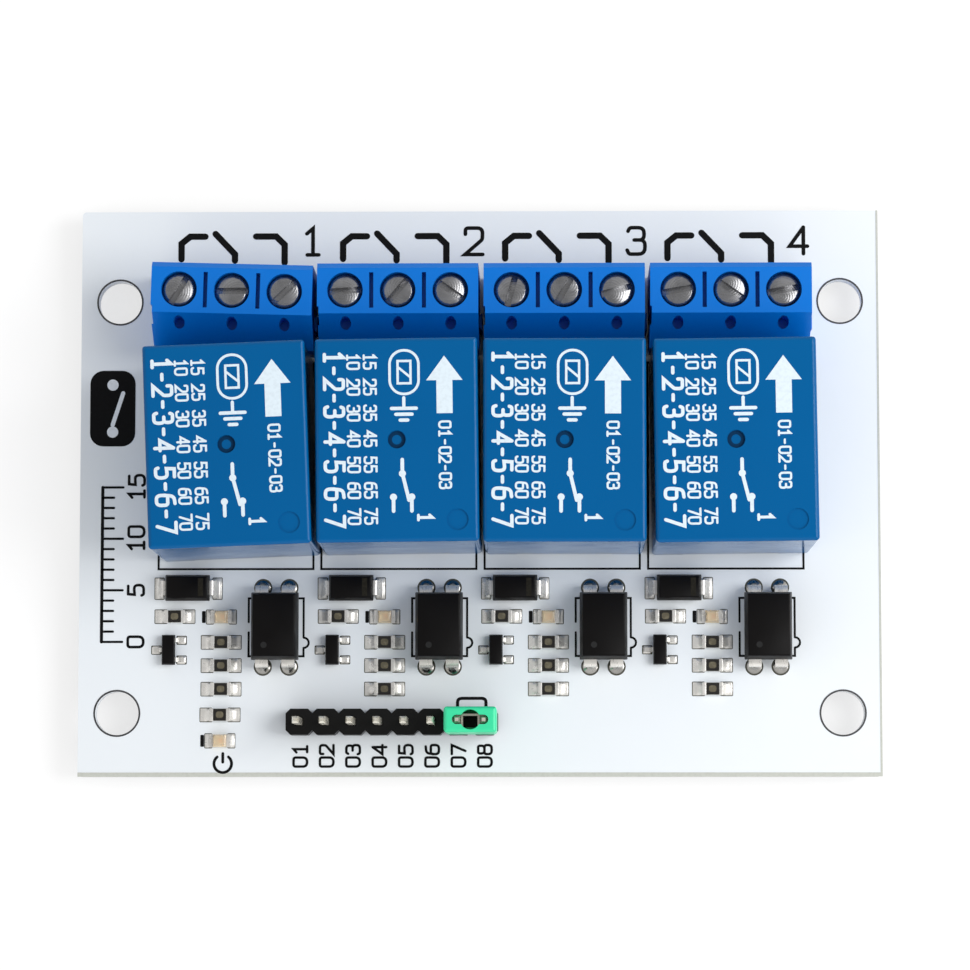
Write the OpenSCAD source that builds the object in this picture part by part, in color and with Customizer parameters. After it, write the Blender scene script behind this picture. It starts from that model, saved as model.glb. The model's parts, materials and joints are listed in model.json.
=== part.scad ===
// Four-channel relay module board with screw terminals.
// Origin: middle of the board, on the plane that its trimmed solder tails stand on.
// +X runs along the row of channels, +Y points to the screw terminals, +Z is up.

/* [Circuit board] */
// Length of the board along the row of channels
board_l = 77.5; // [76:0.5:90]
// Width of the board, front to back
board_w = 55; // [52:0.5:64]
// Thickness of the board
board_t = 1.6; // [1:0.2:2.4]
// Radius of the board's corners
board_corner_r = 0.4; // [0.2:0.1:1.2]
// Length of the solder tails below the board
tail_l = 1.9; // [1.6:0.1:2.6]
// Diameter of the mounting holes
mount_hole_d = 4.2; // [3.2:0.1:4.6]
// Spacing of the mounting holes along X
mount_pitch_x = 70; // [69:0.2:71.5]
// Spacing of the mounting holes along Y
mount_pitch_y = 40; // [36:0.5:44]
// Distance from the front edge to the front mounting holes
mount_front = 6.1; // [4:0.1:8]

/* [Channels] */
// Gap between neighbouring channels, at their widest part
channel_gap = 0.5; // [0.5:0.05:1.5]
// Clearance round a lead in its hole, on each side
lead_clearance = 0.12; // [0.08:0.02:0.2]
// Height of the solder pads that the surface-mounted parts sit on
pad_t = 0.05; // [0.03:0.01:0.1]
// Distance from the board's front edge to the middle of the relay row
relay_row = 31; // [30:0.1:32]

/* [Relay case] */
// Length of the relay case, front to back
relay_l = 19.1; // [17:0.1:22]
// Width of the relay case
relay_w = 15.2; // [13.6:0.1:17]
// Height of the relay case over the board
relay_h = 15.3; // [13.6:0.1:18]
// Thickness of the case's side walls
relay_wall = 0.75; // [0.5:0.05:1]
// Thickness of the case's top
relay_roof = 0.8; // [0.5:0.05:1.2]
// Radius of the case's outer edges
relay_edge_r = 0.4; // [0.2:0.05:0.6]
// How each relay sits off its grid point: along X, along Y, turned
relay_lie = [[0.36, -0.4, 2.3], [0.45, 0, 0.7], [0.3, 0, 0], [0.45, 0, 0.7]];
// Height of the feet that the relay case stands on
relay_foot_h = 0.35; // [0.2:0.05:0.5]
// Width of one foot along the case wall
relay_foot_w = 3; // [1.5:0.5:4]
// Diameter of the moulding gate dimple in the roof
gate_d = 1.7; // [1:0.1:2.5]
// Depth of the moulding gate dimple
gate_depth = 0.3; // [0.1:0.05:0.4]
// Diameter of the ejector mark in the roof's corner
ejector_d = 2; // [1:0.1:3]
// Depth of the ejector mark
ejector_depth = 0.12; // [0.05:0.01:0.2]
// Distance of the ejector mark from the right and the front wall
ejector_inset = 2; // [1.6:0.1:4]

/* [Relay mechanism] */
// Thickness of the relay's base plate
base_t = 1.6; // [1:0.1:1.7]
// Gap round the base plate inside the case
base_gap = 0.05; // [0.02:0.01:0.1]
// Distance from the case's side walls to the side pins
side_pin_inset = 0.85; // [0.7:0.05:1.2]
// Distance from the case's front wall to the common pin
common_pin_inset = 1.6; // [1.5:0.05:2]
// Distance from the common pin to the coil pins
coil_pin_step = 2; // [1.7:0.1:2.4]
// Distance from the case's rear wall to the contact pins
contact_pin_inset = 1.8; // [1.2:0.1:2.4]
// Distance from the contact pins forward to the contacts
contact_setback = 0.8; // [0.6:0.05:1.1]
// Width of a relay pin
relay_pin_w = 0.9; // [0.7:0.1:1]
// Thickness of a relay pin and of a contact blade
relay_pin_t = 0.4; // [0.3:0.05:0.5]
// Thickness of the iron yoke
yoke_t = 1.2; // [0.9:0.1:1.3]
// Width of the iron yoke
yoke_w = 9; // [7:0.5:9.5]
// Distance from the case's front wall to the yoke's back face
yoke_inset = 0.8; // [0.7:0.05:1.2]
// Room between the upper contact blade and the case's roof
roof_gap = 0.85; // [0.3:0.05:1.2]
// Diameter of the coil core
core_d = 3; // [2.6:0.1:3.2]
// Gap between the yoke's upright and the coil bobbin
coil_gap = 0.4; // [0.3:0.05:0.8]
// Diameter of the core's pole face
pole_d = 5.6; // [4.5:0.1:6.4]
// Air gap between the pole face and the raised armature
pole_gap = 0.5; // [0.45:0.05:0.6]
// Thickness of the core's pole face
pole_h = 0.6; // [0.4:0.05:0.8]
// Length of the coil bobbin, front to back
bobbin_l = 8; // [7.2:0.1:9]
// Width of the coil bobbin
bobbin_w = 10; // [9:0.1:11.2]
// Thickness of a bobbin flange
flange_t = 0.8; // [0.6:0.05:0.9]
// Thickness of the bobbin's barrel
barrel_t = 0.5; // [0.3:0.05:0.7]
// Outer diameter of the copper winding
winding_d = 7.4; // [6:0.1:8.2]
// Thickness of the armature plate
armature_t = 1; // [0.8:0.05:1.1]
// Width of the armature plate
armature_w = 8.4; // [7:0.1:9]
// Travel of the armature in degrees
armature_travel = 3; // [2:0.1:3]
// Thickness of the contact spring
spring_t = 0.15; // [0.1:0.01:0.2]
// Width of the contact spring
spring_w = 4.6; // [3:0.1:5]
// Diameter of the contact rivets
contact_d = 2.4; // [2:0.1:2.6]
// Height of one contact rivet's head
contact_h = 0.4; // [0.3:0.05:0.45]
// Gap left between closed contacts
contact_gap = 0.05; // [0.02:0.01:0.08]
// Gap between the yoke and the tail of the contact spring
spring_gap = 0.2; // [0.15:0.05:0.3]
// Length of the contact spring's tail behind the yoke
spring_tail = 3.6; // [2:0.2:5]

/* [Screw terminals] */
// Distance between the poles of a terminal block
pole_pitch = 5; // [4.6:0.05:5.5]
// Plastic outside the outer poles, beyond half a pitch
end_wall = 0.15; // [0.1:0.05:0.2]
// Depth of the terminal block, front to back
block_depth = 7.6; // [7:0.05:9]
// Height of the terminal block
block_h = 10; // [9:0.1:12]
// Gap between the relay cases and the terminal blocks
block_gap = 0.3; // [0.3:0.05:1.5]
// How far the blocks sit off the channel grid along X
block_dx = 0.3; // [0:0.05:0.4]
// How each terminal block is turned on the board
block_turn = [-1.5, 0, 0, 0];
// Height at which the sloping rear starts
slope_z = 5.2; // [4.8:0.1:6]
// How far back the sloping rear reaches at the top
slope_run = 2.75; // [2:0.05:2.8]
// Bevel along the top front edge
front_bevel = 0.5; // [0.2:0.05:0.7]
// Distance from the block's front face to the screws
screw_inset = 2.62; // [2.5:0.02:3]
// Gap between a clamp cage and its chamber's side walls
chamber_side_gap = 0.1; // [0.08:0.01:0.15]
// Gap between a clamp cage and its chamber, in front and behind
chamber_end_gap = 0.15; // [0.1:0.01:0.2]
// Gap over and under the clamp cage at the ends of its travel
chamber_top_gap = 0.1; // [0.05:0.01:0.15]
// Height of the wire entry's sill over the board
entry_sill = 1.5; // [1.3:0.1:1.8]
// Height of the wire entry
entry_h = 3.1; // [2.6:0.1:3.4]
// Width of the flare round the wire entry's mouth
entry_flare = 0.4; // [0.2:0.05:0.45]
// Thickness of the block's floor
block_floor = 0.8; // [0.6:0.1:1]
// Diameter of the vent holes in the sloping rear
vent_d = 1.05; // [0.6:0.05:1.2]
// Distance from the edge of the block's flat top to the middle of the vent holes
vent_inset = 0.75; // [0.6:0.05:1]
// Depth of the vent holes under the sloping rear
vent_depth = 1.8; // [1:0.1:2]
// Width of the slots between the poles
divider_slot_w = 0.4; // [0.2:0.05:0.5]
// Length of the slots between the poles
divider_slot_l = 3.4; // [2:0.1:3.8]
// Depth of the slots between the poles
divider_slot_depth = 1.2; // [0.5:0.1:1.5]
// Width of the dovetail rail and groove on the block's ends
rail_w = 1.6; // [1.2:0.1:2]
// Depth of the dovetail rail
rail_t = 0.3; // [0.15:0.05:0.35]

/* [Terminal screws and clamps] */
// Diameter of the screw head
head_d = 3; // [2.8:0.05:3.1]
// Height of the screw head
head_h = 1.15; // [1:0.05:1.2]
// Radius of the screw head's rounded rim
head_rim = 0.25; // [0.1:0.05:0.4]
// Depth of the screw head below the block's top
head_recess = 0.4; // [0.3:0.05:0.5]
// Clearance round the screw head in its well
head_clearance = 0.2; // [0.1:0.02:0.25]
// Width of the screw's slot
slot_w = 0.6; // [0.4:0.05:0.7]
// Depth of the screw's slot
slot_depth = 0.65; // [0.4:0.05:0.8]
// Diameter of the screw's shank
shank_d = 2.4; // [2.2:0.05:2.5]
// Running clearance of the shank in the clamp's thread
thread_clearance = 0.05; // [0.02:0.01:0.09]
// Clearance of the shank in the block's web
web_clearance = 0.15; // [0.1:0.01:0.2]
// Thickness of the web under the screw head
web_t = 0.6; // [0.5:0.05:0.7]
// How each slot stands, block by block, in degrees
slot_angles = [[60, 2, 45], [4, 50, -35], [75, 60, 15], [10, -35, 10]];
// Gap left under the contact bar when the clamp is closed
closed_gap = 0.35; // [0.2:0.05:0.5]
// Width of the clamp cage
cage_w = 3.7; // [3.4:0.02:3.9]
// Depth of the clamp cage, front to back
cage_depth = 3.4; // [3:0.05:3.6]
// Thickness of the cage's side walls
cage_side = 0.55; // [0.4:0.05:0.6]
// Thickness of the cage's bottom
cage_bottom = 0.8; // [0.6:0.05:1]
// Thickness of the cage's threaded top
cage_top = 1.1; // [0.9:0.05:1.3]
// Thickness of the fixed contact bar
bar_t = 0.7; // [0.5:0.05:0.75]
// Width of the fixed contact bar inside the cage
bar_w = 1.9; // [1.4:0.05:2.1]
// Gap between the contact bar and the cage or the block
bar_clearance = 0.1; // [0.05:0.01:0.15]
// Width of the solder pin under a terminal
terminal_pin_w = 1; // [0.8:0.05:1.1]

/* [Pin header] */
// Number of pins in the header
header_pins_n = 8; // [8:1:8]
// Distance between header pins
header_pitch = 2.54; // [2.4:0.02:2.8]
// Width of the header body
header_w = 2.5; // [2.3:0.02:2.8]
// Height of the header body
header_h = 2.54; // [2.3:0.02:2.8]
// Bevel on the corners of each section of the header body
header_cut = 0.45; // [0.3:0.05:0.6]
// Distance from the board's middle to the first pin, towards the left
header_left = 17.25; // [16.5:0.05:18]
// Distance from the board's front edge to the pin row
header_front = 5.2; // [4.6:0.1:6]
// Clearance of a pin in the header body
header_fit = 0.05; // [0.02:0.01:0.08]
// Side of a header pin
header_pin_w = 0.64; // [0.6:0.01:0.66]
// Length of the header pins over the body
header_pin_over = 6; // [5.6:0.1:6.4]
// Length of the header pins' tapered tip
header_tip = 0.5; // [0.2:0.05:0.7]
// Length of the header's tails below the board
header_tail_l = 1.4; // [1:0.1:1.5]

/* [Jumper] */
// Number of the first header pin that the jumper covers
jumper_pin = 7; // [7:1:7]
// Height of the jumper's shell
jumper_h = 6; // [5.6:0.1:6.4]
// Wall of the jumper's shell
jumper_wall = 0.55; // [0.45:0.05:0.6]
// Thickness of the jumper's roof
jumper_roof = 1; // [0.6:0.1:1.4]
// Radius of the jumper's outer edges
jumper_edge_r = 0.35; // [0.2:0.05:0.5]
// Width of the slot through the jumper's roof
jumper_slot_w = 0.9; // [0.8:0.05:1]
// Diameter of the probe opening in the middle of the roof
jumper_probe_d = 1.9; // [1.2:0.1:2]
// Gap between the jumper and the header body
jumper_seat = 0.05; // [0.02:0.01:0.1]
// Thickness of the jumper's metal clip
clip_t = 0.2; // [0.12:0.02:0.22]
// Gap between the clip and a pin on each side
clip_gap = 0.06; // [0.03:0.01:0.08]
// Height of the jumper's metal clip
clip_h = 4.2; // [3:0.1:4.6]
// Height of the clip's lower end in the shell
clip_z = 0.5; // [0.2:0.1:0.8]
// Room between the clip and the shell
clip_room = 0.1; // [0.05:0.01:0.15]

/* [Optocouplers] */
// Place of the optocoupler: from its channel's middle, from the board's front edge
opto_at = [4.05, 14.4];
// Width of the optocoupler's body
opto_w = 4.58; // [4.3:0.02:4.7]
// Length of the optocoupler's body
opto_l = 6.5; // [6.2:0.05:6.6]
// Height of the optocoupler's body
opto_h = 3.4; // [3:0.1:3.6]
// Height of the optocoupler's body over the board
opto_lift = 0.35; // [0.2:0.05:0.5]
// Draft of the optocoupler's four sides, above and below the leads
opto_draft = 0.25; // [0.1:0.05:0.3]
// Distance between the lead rows of the optocoupler
opto_row = 7.62; // [7.5:0.02:7.7]
// Distance between neighbouring leads of the optocoupler
opto_pitch = 2.54; // [2.5:0.02:2.6]
// Thickness of the optocoupler's leads
opto_lead_t = 0.26; // [0.2:0.02:0.3]
// Width of the optocoupler's leads at the shoulder
opto_shoulder_w = 1.25; // [1:0.05:1.4]
// Width of the optocoupler's leads in the board
opto_lead_w = 0.5; // [0.4:0.02:0.6]
// Length of the optocoupler's tails below the board
opto_tail_l = 1; // [0.6:0.1:1.4]

/* [Surface-mounted parts] */
// Place of the diode: from its channel's middle, from the board's front edge
diode_at = [-4.45, 18.15];
// Length of the diode's body
diode_l = 4.3; // [4:0.05:4.4]
// Width of the diode's body
diode_w = 2.5; // [2.3:0.05:2.6]
// Height of the diode over the board
diode_h = 2.1; // [1.8:0.1:2.3]
// Draft of the diode's sides
diode_draft = 0.2; // [0.1:0.02:0.25]
// Overall length over the diode's leads
diode_span = 5.2; // [5:0.05:5.3]
// Width of the diode's leads
diode_lead_w = 1.4; // [1.2:0.05:1.6]
// Thickness of the diode's leads
diode_lead_t = 0.2; // [0.15:0.01:0.25]
// Place of the transistor: from its channel's middle, from the board's front edge
transistor_at = [-6.3, 12.2];
// Width of the transistor's body across its leads
transistor_w = 1.3; // [1.2:0.02:1.4]
// Length of the transistor's body
transistor_l = 2.9; // [2.8:0.02:3]
// Height of the transistor over the board
transistor_h = 1; // [0.9:0.05:1.1]
// Draft of the transistor's sides
transistor_draft = 0.08; // [0.04:0.01:0.12]
// Overall width over the transistor's leads
transistor_span = 2.4; // [2.3:0.05:2.5]
// Pitch of the transistor's two paired leads
transistor_pitch = 1.9; // [1.8:0.02:2]
// Width of a transistor lead
transistor_lead_w = 0.42; // [0.36:0.02:0.48]
// Thickness of a transistor lead
transistor_lead_t = 0.12; // [0.1:0.01:0.15]
// Length of a chip resistor or light
chip_l = 2; // [1.8:0.05:2.1]
// Width of a chip resistor or light
chip_w = 1.25; // [1.1:0.05:1.3]
// Height of a chip resistor
resistor_h = 0.5; // [0.4:0.05:0.6]
// Length of the metal ends of a chip part
chip_end_l = 0.36; // [0.25:0.01:0.5]
// Thickness of the metal ends over the chip's body
chip_end_t = 0.03; // [0.02:0.01:0.05]
// Height of a chip light's carrier
light_base_h = 0.3; // [0.25:0.05:0.4]
// Height of a chip light's lens over its carrier
light_lens_h = 0.5; // [0.4:0.05:0.6]
// Length of the chip light's lens
light_lens_l = 1.25; // [1.1:0.05:1.3]
// Places of the chip resistors: from their channel's middle, from the board's front edge
resistor_at = [[-5.75, 15.44], [-1.25, 12.95], [-1.25, 10.7], [-1.25, 8.43]];
// Place of the channel light: from its channel's middle, from the board's front edge
light_at = [-1.25, 15.4];
// Place of the power light's resistor: from the board's middle and its front edge
power_resistor_at = [-25.03, 5.95];
// Place of the power light: from the board's middle and its front edge
power_light_at = [-25.03, 3.45];

/* [Hidden] */
CHANNELS = 4;
POLES = 3;
CHANNEL = [for (c = [1:CHANNELS]) c];
POLE = [for (c = CHANNEL, p = [1:POLES]) [c, p]];

eps = 0.01;
board_top = tail_l + board_t;
tail_drop = tail_l + board_t;
hole_fn = 32;

// Relay, seen from its own middle on the board's top
relay_row_y = relay_row - board_w / 2;
inner_w = relay_w - 2 * relay_wall;
inner_l = relay_l - 2 * relay_wall;
roof_z = relay_h - relay_roof;
base_z = relay_foot_h + base_gap;
base_top = base_z + base_t;
side_pin_x = inner_w / 2 - side_pin_inset;
common_pin_y = common_pin_inset - inner_l / 2;
coil_pin_y = common_pin_y + coil_pin_step;
contact_pin_y = inner_l / 2 - contact_pin_inset;
yoke_y = yoke_inset - inner_l / 2;
yoke_z = base_top + base_gap;
pivot_y = yoke_y + yoke_t / 2;
coil_y = yoke_y + yoke_t + coil_gap + bobbin_l / 2;
plate_l = coil_y + bobbin_l / 2 - yoke_y;
contact_stack = armature_t + spring_t + 2 * contact_h + 2 * contact_gap + relay_pin_t;
yoke_top = roof_z - roof_gap - contact_stack;
pivot_z = yoke_top - yoke_t / 2;
armature_z = yoke_top + contact_gap;
armature_top = armature_z + armature_t;
pole_z = armature_z - pole_gap;
bobbin_z = yoke_z + yoke_t;
bobbin_top = pole_z - pole_h;
ear_w = relay_pin_w + relay_pin_t;
contact_y = contact_pin_y - contact_setback;
closed_z = armature_top + spring_t + contact_h + contact_gap;
contact_sink = (contact_y + contact_d / 2 - pivot_y) * sin(armature_travel);
open_z = armature_top - contact_h - contact_sink - 2 * contact_gap;

// Terminal block, seen from the middle of its rear face on the board's top
block_w = POLES * pole_pitch + 2 * end_wall;
block_rear_y = relay_row_y + relay_l / 2 + block_gap;
screw_y = block_depth - screw_inset;
chamber_w = cage_w + 2 * chamber_side_gap;
chamber_l = cage_depth + 2 * chamber_end_gap;
chamber_rear = screw_y - chamber_l / 2;
well_floor = block_h - head_recess - head_h;
chamber_top = well_floor - web_t;
cage_metal = cage_bottom + cage_top + bar_t + closed_gap + bar_clearance;
clamp_rise = (chamber_top - block_floor - 2 * chamber_top_gap - cage_metal) / 2;
cage_window = clamp_rise + bar_t + closed_gap + bar_clearance;
cage_h = cage_bottom + cage_window + cage_top;
cage_open_z = block_floor + chamber_top_gap;
bar_top = cage_open_z + cage_bottom + cage_window - bar_clearance;
bar_z = bar_top - bar_t;
shank_end = bar_top + 2 * bar_clearance;
bar_rear = chamber_rear - terminal_pin_w - bar_clearance;

// Small parts
channel_pitch = max(relay_w, block_w) + channel_gap;
sleeve = header_pin_w + 2 * clip_gap;
sleeve_outer = sleeve + 2 * clip_t;
jumper_l = header_pitch + sleeve_outer + 2 * clip_room + 2 * jumper_wall;
jumper_w = sleeve_outer + 2 * clip_room + 2 * jumper_wall;
header_y = header_front - board_w / 2;

function channel_x(c) = (c - (CHANNELS + 1) / 2) * channel_pitch;
function pole_x(p) = (p - (POLES + 1) / 2) * pole_pitch;
function header_pin_x(i) = (i - 1) * header_pitch - header_left;

// ---------------------------------------------------------------- placing
module at_relay(c) {
    lie = relay_lie[c - 1];
    translate([channel_x(c) + lie[0], relay_row_y + lie[1], board_top]) rotate(lie[2]) children();
}

// Turns a block about its own middle
module at_block(c) {
    translate([channel_x(c) + block_dx, block_rear_y + block_depth / 2, board_top])
        rotate(block_turn[c - 1])
            translate([0, -block_depth / 2, 0]) children();
}

// Places are measured along X from the middle given, and along Y from the board's front edge
module at_place(x, place) {
    translate([x + place[0], place[1] - board_w / 2, board_top]) children();
}

module at_channel(c, place) {
    at_place(channel_x(c), place) children();
}

module relay_pin_places() {
    translate([0, common_pin_y]) children();
    for (side = [-1, 1], y = [coil_pin_y, contact_pin_y])
        translate([side * side_pin_x, y]) children();
}

module opto_lead_places() {
    for (x = [-1, 1], y = [-1, 1]) translate([x * opto_pitch / 2, y * opto_row / 2]) children();
}

// ---------------------------------------------------------------- shared forms
module rounded(w, l, r) {
    square([w - 2 * r, l], center = true);
    square([w, l - 2 * r], center = true);
    for (x = [-1, 1], y = [-1, 1])
        translate([x * (w / 2 - r), y * (l / 2 - r)]) circle(r, $fn = 32);
}

// Profile that stands on the axis and has rounded upper corners
module rounded_gable(w, h, r) {
    translate([-w / 2 + r, 0]) square([w - 2 * r, h]);
    translate([-w / 2, 0]) square([w, h - r]);
    for (x = [-1, 1]) translate([x * (w / 2 - r), h - r]) circle(r, $fn = 32);
}

// Extrudes a profile drawn in X and Z along Y, or one drawn in Y and Z along X
module along_y(l) {
    rotate([90, 0, 0]) linear_extrude(l, center = true) children();
}

module along_x(w) {
    rotate([90, 0, 90]) linear_extrude(w, center = true) children();
}

module softened_block(w, l, h, r) {
    intersection() {
        linear_extrude(h) rounded(w, l, r);
        along_y(l + 2) rounded_gable(w, h, r);
        along_x(w + 2) rounded_gable(l, h, r);
    }
}

// Moulded body whose sides lean in above and below the parting line
module drafted_body(w, l, h, draft, parting) {
    intersection() {
        along_y(l + 2) drafted_profile(w, h, draft, parting);
        along_x(w + 2) drafted_profile(l, h, draft, parting);
    }
}

module drafted_profile(w, h, draft, parting) {
    polygon([
        [-w / 2 + draft, 0], [w / 2 - draft, 0], [w / 2, parting],
        [w / 2 - draft, h], [-w / 2 + draft, h], [-w / 2, parting]
    ]);
}

// ---------------------------------------------------------------- circuit board
module circuit_board() {
    mount_y = mount_front - board_w / 2;
    color("whitesmoke")
        difference() {
            translate([0, 0, tail_l]) linear_extrude(board_t) rounded(board_l, board_w, board_corner_r);
            for (x = [-1, 1], y = [0, 1])
                translate([x * mount_pitch_x / 2, mount_y + y * mount_pitch_y, tail_l - 1])
                    cylinder(board_t + 2, d = mount_hole_d, $fn = 64);
            for (c = CHANNEL) {
                at_relay(c) relay_pin_places() lead_hole(relay_pin_w, relay_pin_t);
                at_block(c) for (p = [1:POLES])
                    translate([pole_x(p), bar_rear + bar_t / 2]) lead_hole(terminal_pin_w, bar_t);
                at_channel(c, opto_at) opto_lead_places() lead_hole(opto_lead_w, opto_lead_t);
            }
            for (i = [1:header_pins_n])
                translate([header_pin_x(i), header_y, board_top]) lead_hole(header_pin_w, header_pin_w);
        }
}

// Drill for a flat lead, through the board from its top
module lead_hole(w, t) {
    d = norm([w, t]) + 2 * lead_clearance;
    translate([0, 0, -board_t - 1]) cylinder(board_t + 2, d = d, $fn = hole_fn);
}

// ---------------------------------------------------------------- relay
module relay_cover(c) {
    color("royalblue")
        at_relay(c) difference() {
            softened_block(relay_w, relay_l, relay_h, relay_edge_r);
            translate([-inner_w / 2, -inner_l / 2, -1]) cube([inner_w, inner_l, roof_z + 1]);
            relay_foot_gaps();
            translate([0, 0, relay_h - gate_depth]) cylinder(gate_depth + 1, d = gate_d, $fn = 40);
            translate([relay_w / 2 - ejector_inset, -relay_l / 2 + ejector_inset, relay_h - ejector_depth])
                cylinder(ejector_depth + 1, d = ejector_d, $fn = 40);
        }
}

// Openings between the corner feet, one through each pair of walls
module relay_foot_gaps() {
    gap_w = relay_w - 2 * relay_foot_w;
    gap_l = relay_l - 2 * relay_foot_w;
    translate([-gap_w / 2, -relay_l / 2 - 1, -1]) cube([gap_w, relay_l + 2, 1 + relay_foot_h]);
    translate([-relay_w / 2 - 1, -gap_l / 2, -1]) cube([relay_w + 2, gap_l, 1 + relay_foot_h]);
}

module relay_base(c) {
    color("midnightblue")
        at_relay(c) difference() {
            translate([0, 0, base_z]) linear_extrude(base_t)
                square([inner_w - 2 * base_gap, inner_l - 2 * base_gap], center = true);
            relay_pin_places() translate([0, 0, base_z + base_t / 2])
                cube([relay_pin_w + 2 * base_gap, relay_pin_t + 2 * base_gap, base_t + 1], center = true);
        }
}

module relay_coil(c) {
    at_relay(c) {
        color("dimgray") relay_bobbin();
        color("chocolate") relay_winding();
    }
}

// Two flanges on a barrel, with ears over the coil pins
module relay_bobbin() {
    bore = core_d + 2 * base_gap;
    difference() {
        union() {
            for (z = [bobbin_z, bobbin_top - flange_t]) translate([0, coil_y, z + flange_t / 2])
                cube([bobbin_w, bobbin_l, flange_t], center = true);
            translate([0, coil_pin_y, bobbin_z + flange_t / 2])
                cube([2 * side_pin_x + ear_w, ear_w, flange_t], center = true);
            translate([0, coil_y, bobbin_z]) cylinder(bobbin_top - bobbin_z, d = bore + 2 * barrel_t, $fn = 48);
        }
        translate([0, coil_y, bobbin_z - 1]) cylinder(bobbin_top - bobbin_z + 2, d = bore, $fn = 48);
    }
}

module relay_winding() {
    bore = core_d + 4 * base_gap + 2 * barrel_t;
    z = bobbin_z + flange_t + base_gap;
    h = bobbin_top - flange_t - base_gap - z;
    translate([0, coil_y, z]) difference() {
        cylinder(h, d = winding_d, $fn = 64);
        translate([0, 0, -1]) cylinder(h + 2, d = bore, $fn = 48);
    }
}

// Angle-shaped yoke with a rounded bearing edge, and the core riveted into its foot
module relay_yoke(c) {
    color("lightsteelblue")
        at_relay(c) {
            translate([-yoke_w / 2, yoke_y, yoke_z]) cube([yoke_w, plate_l, yoke_t]);
            translate([-yoke_w / 2, yoke_y, yoke_z]) cube([yoke_w, yoke_t, pivot_z - yoke_z]);
            translate([-yoke_w / 2, pivot_y, pivot_z]) rotate([0, 90, 0]) cylinder(yoke_w, d = yoke_t, $fn = 32);
            translate([0, coil_y, yoke_z]) cylinder(pole_z - yoke_z, d = core_d, $fn = 48);
            translate([0, coil_y, bobbin_top]) cylinder(pole_h, d = pole_d, $fn = 48);
        }
}

// Iron plate that tips on the yoke's rounded edge, with the contact spring riveted on
module relay_armature(c) {
    back = yoke_y - spring_gap;
    reach = contact_y + contact_d / 2 - back + spring_t;
    color("silver")
        at_relay(c) {
            translate([-armature_w / 2, yoke_y, armature_z]) cube([armature_w, plate_l, armature_t]);
            translate([-spring_w / 2, back - spring_t, armature_top]) cube([spring_w, reach, spring_t]);
            translate([-spring_w / 2, back - spring_t, armature_top - spring_tail])
                cube([spring_w, spring_t, spring_tail + spring_t]);
            translate([0, contact_y, armature_top - contact_h])
                cylinder(2 * contact_h + spring_t, d = contact_d, $fn = 48);
        }
}

// Every pin of every relay, two of them with their fixed contact blades
module relay_contacts() {
    color("goldenrod")
        for (c = CHANNEL) at_relay(c) {
            translate([0, common_pin_y]) relay_pin(yoke_z);
            for (side = [-1, 1]) translate([side * side_pin_x, coil_pin_y]) relay_pin(bobbin_z);
            fixed_contact(1, open_z - contact_h - relay_pin_t, open_z - contact_h);
            fixed_contact(-1, closed_z + contact_h, closed_z);
        }
}

module relay_pin(top) {
    translate([-relay_pin_w / 2, -relay_pin_t / 2, -tail_drop]) cube([relay_pin_w, relay_pin_t, tail_drop + top]);
}

// Pin on one side, blade across to the middle at blade_z, rivet on it
module fixed_contact(side, blade_z, rivet_z) {
    reach = side_pin_x + relay_pin_w / 2 + contact_d / 2;
    depth = contact_pin_y + relay_pin_t / 2 - contact_y + contact_d / 2;
    mirror([side < 0 ? 1 : 0, 0, 0]) {
        translate([side_pin_x, contact_pin_y]) relay_pin(blade_z + relay_pin_t);
        translate([-contact_d / 2, contact_y - contact_d / 2, blade_z]) cube([reach, depth, relay_pin_t]);
        translate([0, contact_y, rivet_z]) cylinder(contact_h, d = contact_d, $fn = 48);
    }
}

// ---------------------------------------------------------------- screw terminals
module terminal_housing(c) {
    color("dodgerblue")
        at_block(c) difference() {
            union() {
                along_x(block_w) block_profile();
                translate([block_w / 2, block_depth - screw_y, 0]) end_rail();
            }
            translate([-block_w / 2, block_depth - screw_y, -1]) linear_extrude(block_h + 2) end_groove();
            for (p = [1:POLES]) translate([pole_x(p), 0, 0]) pole_cavities();
            for (p = [1:POLES - 1]) translate([pole_x(p) + pole_pitch / 2, screw_y, block_h])
                cube([divider_slot_w, divider_slot_l, 2 * divider_slot_depth], center = true);
        }
}

// Section of the block: sloping rear, flat top, bevelled front
module block_profile() {
    polygon([
        [0, 0], [block_depth, 0], [block_depth, block_h - front_bevel],
        [block_depth - front_bevel, block_h], [slope_run, block_h], [0, slope_z]
    ]);
}

// Rail on the right end that a neighbouring block's groove would take
module end_rail() {
    h = slope_z;
    linear_extrude(h) translate([-eps, 0])
        polygon([[0, -rail_w / 3], [rail_t, -rail_w / 2], [rail_t, rail_w / 2], [0, rail_w / 3]]);
}

module end_groove() {
    d = rail_t / 2;
    polygon([[-1, -rail_w / 2], [d, -rail_w / 2], [d, rail_w / 2], [-1, rail_w / 2]]);
}

// Screw well, web hole, clamp chamber, wire entry, bar slot and vent of one pole
module pole_cavities() {
    well_d = head_d + 2 * head_clearance;
    web_d = shank_d + 2 * web_clearance;
    bar_slot_w = bar_w + 2 * bar_clearance;
    pin_slot_w = terminal_pin_w + 2 * bar_clearance;
    translate([0, screw_y, well_floor]) cylinder(block_h, d = well_d, $fn = 48);
    translate([0, screw_y, chamber_top - 1]) cylinder(web_t + 2, d = web_d, $fn = 48);
    translate([-chamber_w / 2, chamber_rear, block_floor]) cube([chamber_w, chamber_l, chamber_top - block_floor]);
    along_x(chamber_w) entry_profile();
    translate([-bar_slot_w / 2, bar_rear - bar_clearance, bar_z - bar_clearance])
        cube([bar_slot_w, chamber_rear - bar_rear + 1, bar_t + 2 * bar_clearance]);
    translate([-pin_slot_w / 2, bar_rear - bar_clearance, -1])
        cube([pin_slot_w, bar_t + 2 * bar_clearance, 1 + bar_top + bar_clearance]);
    vent_hole();
}

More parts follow.
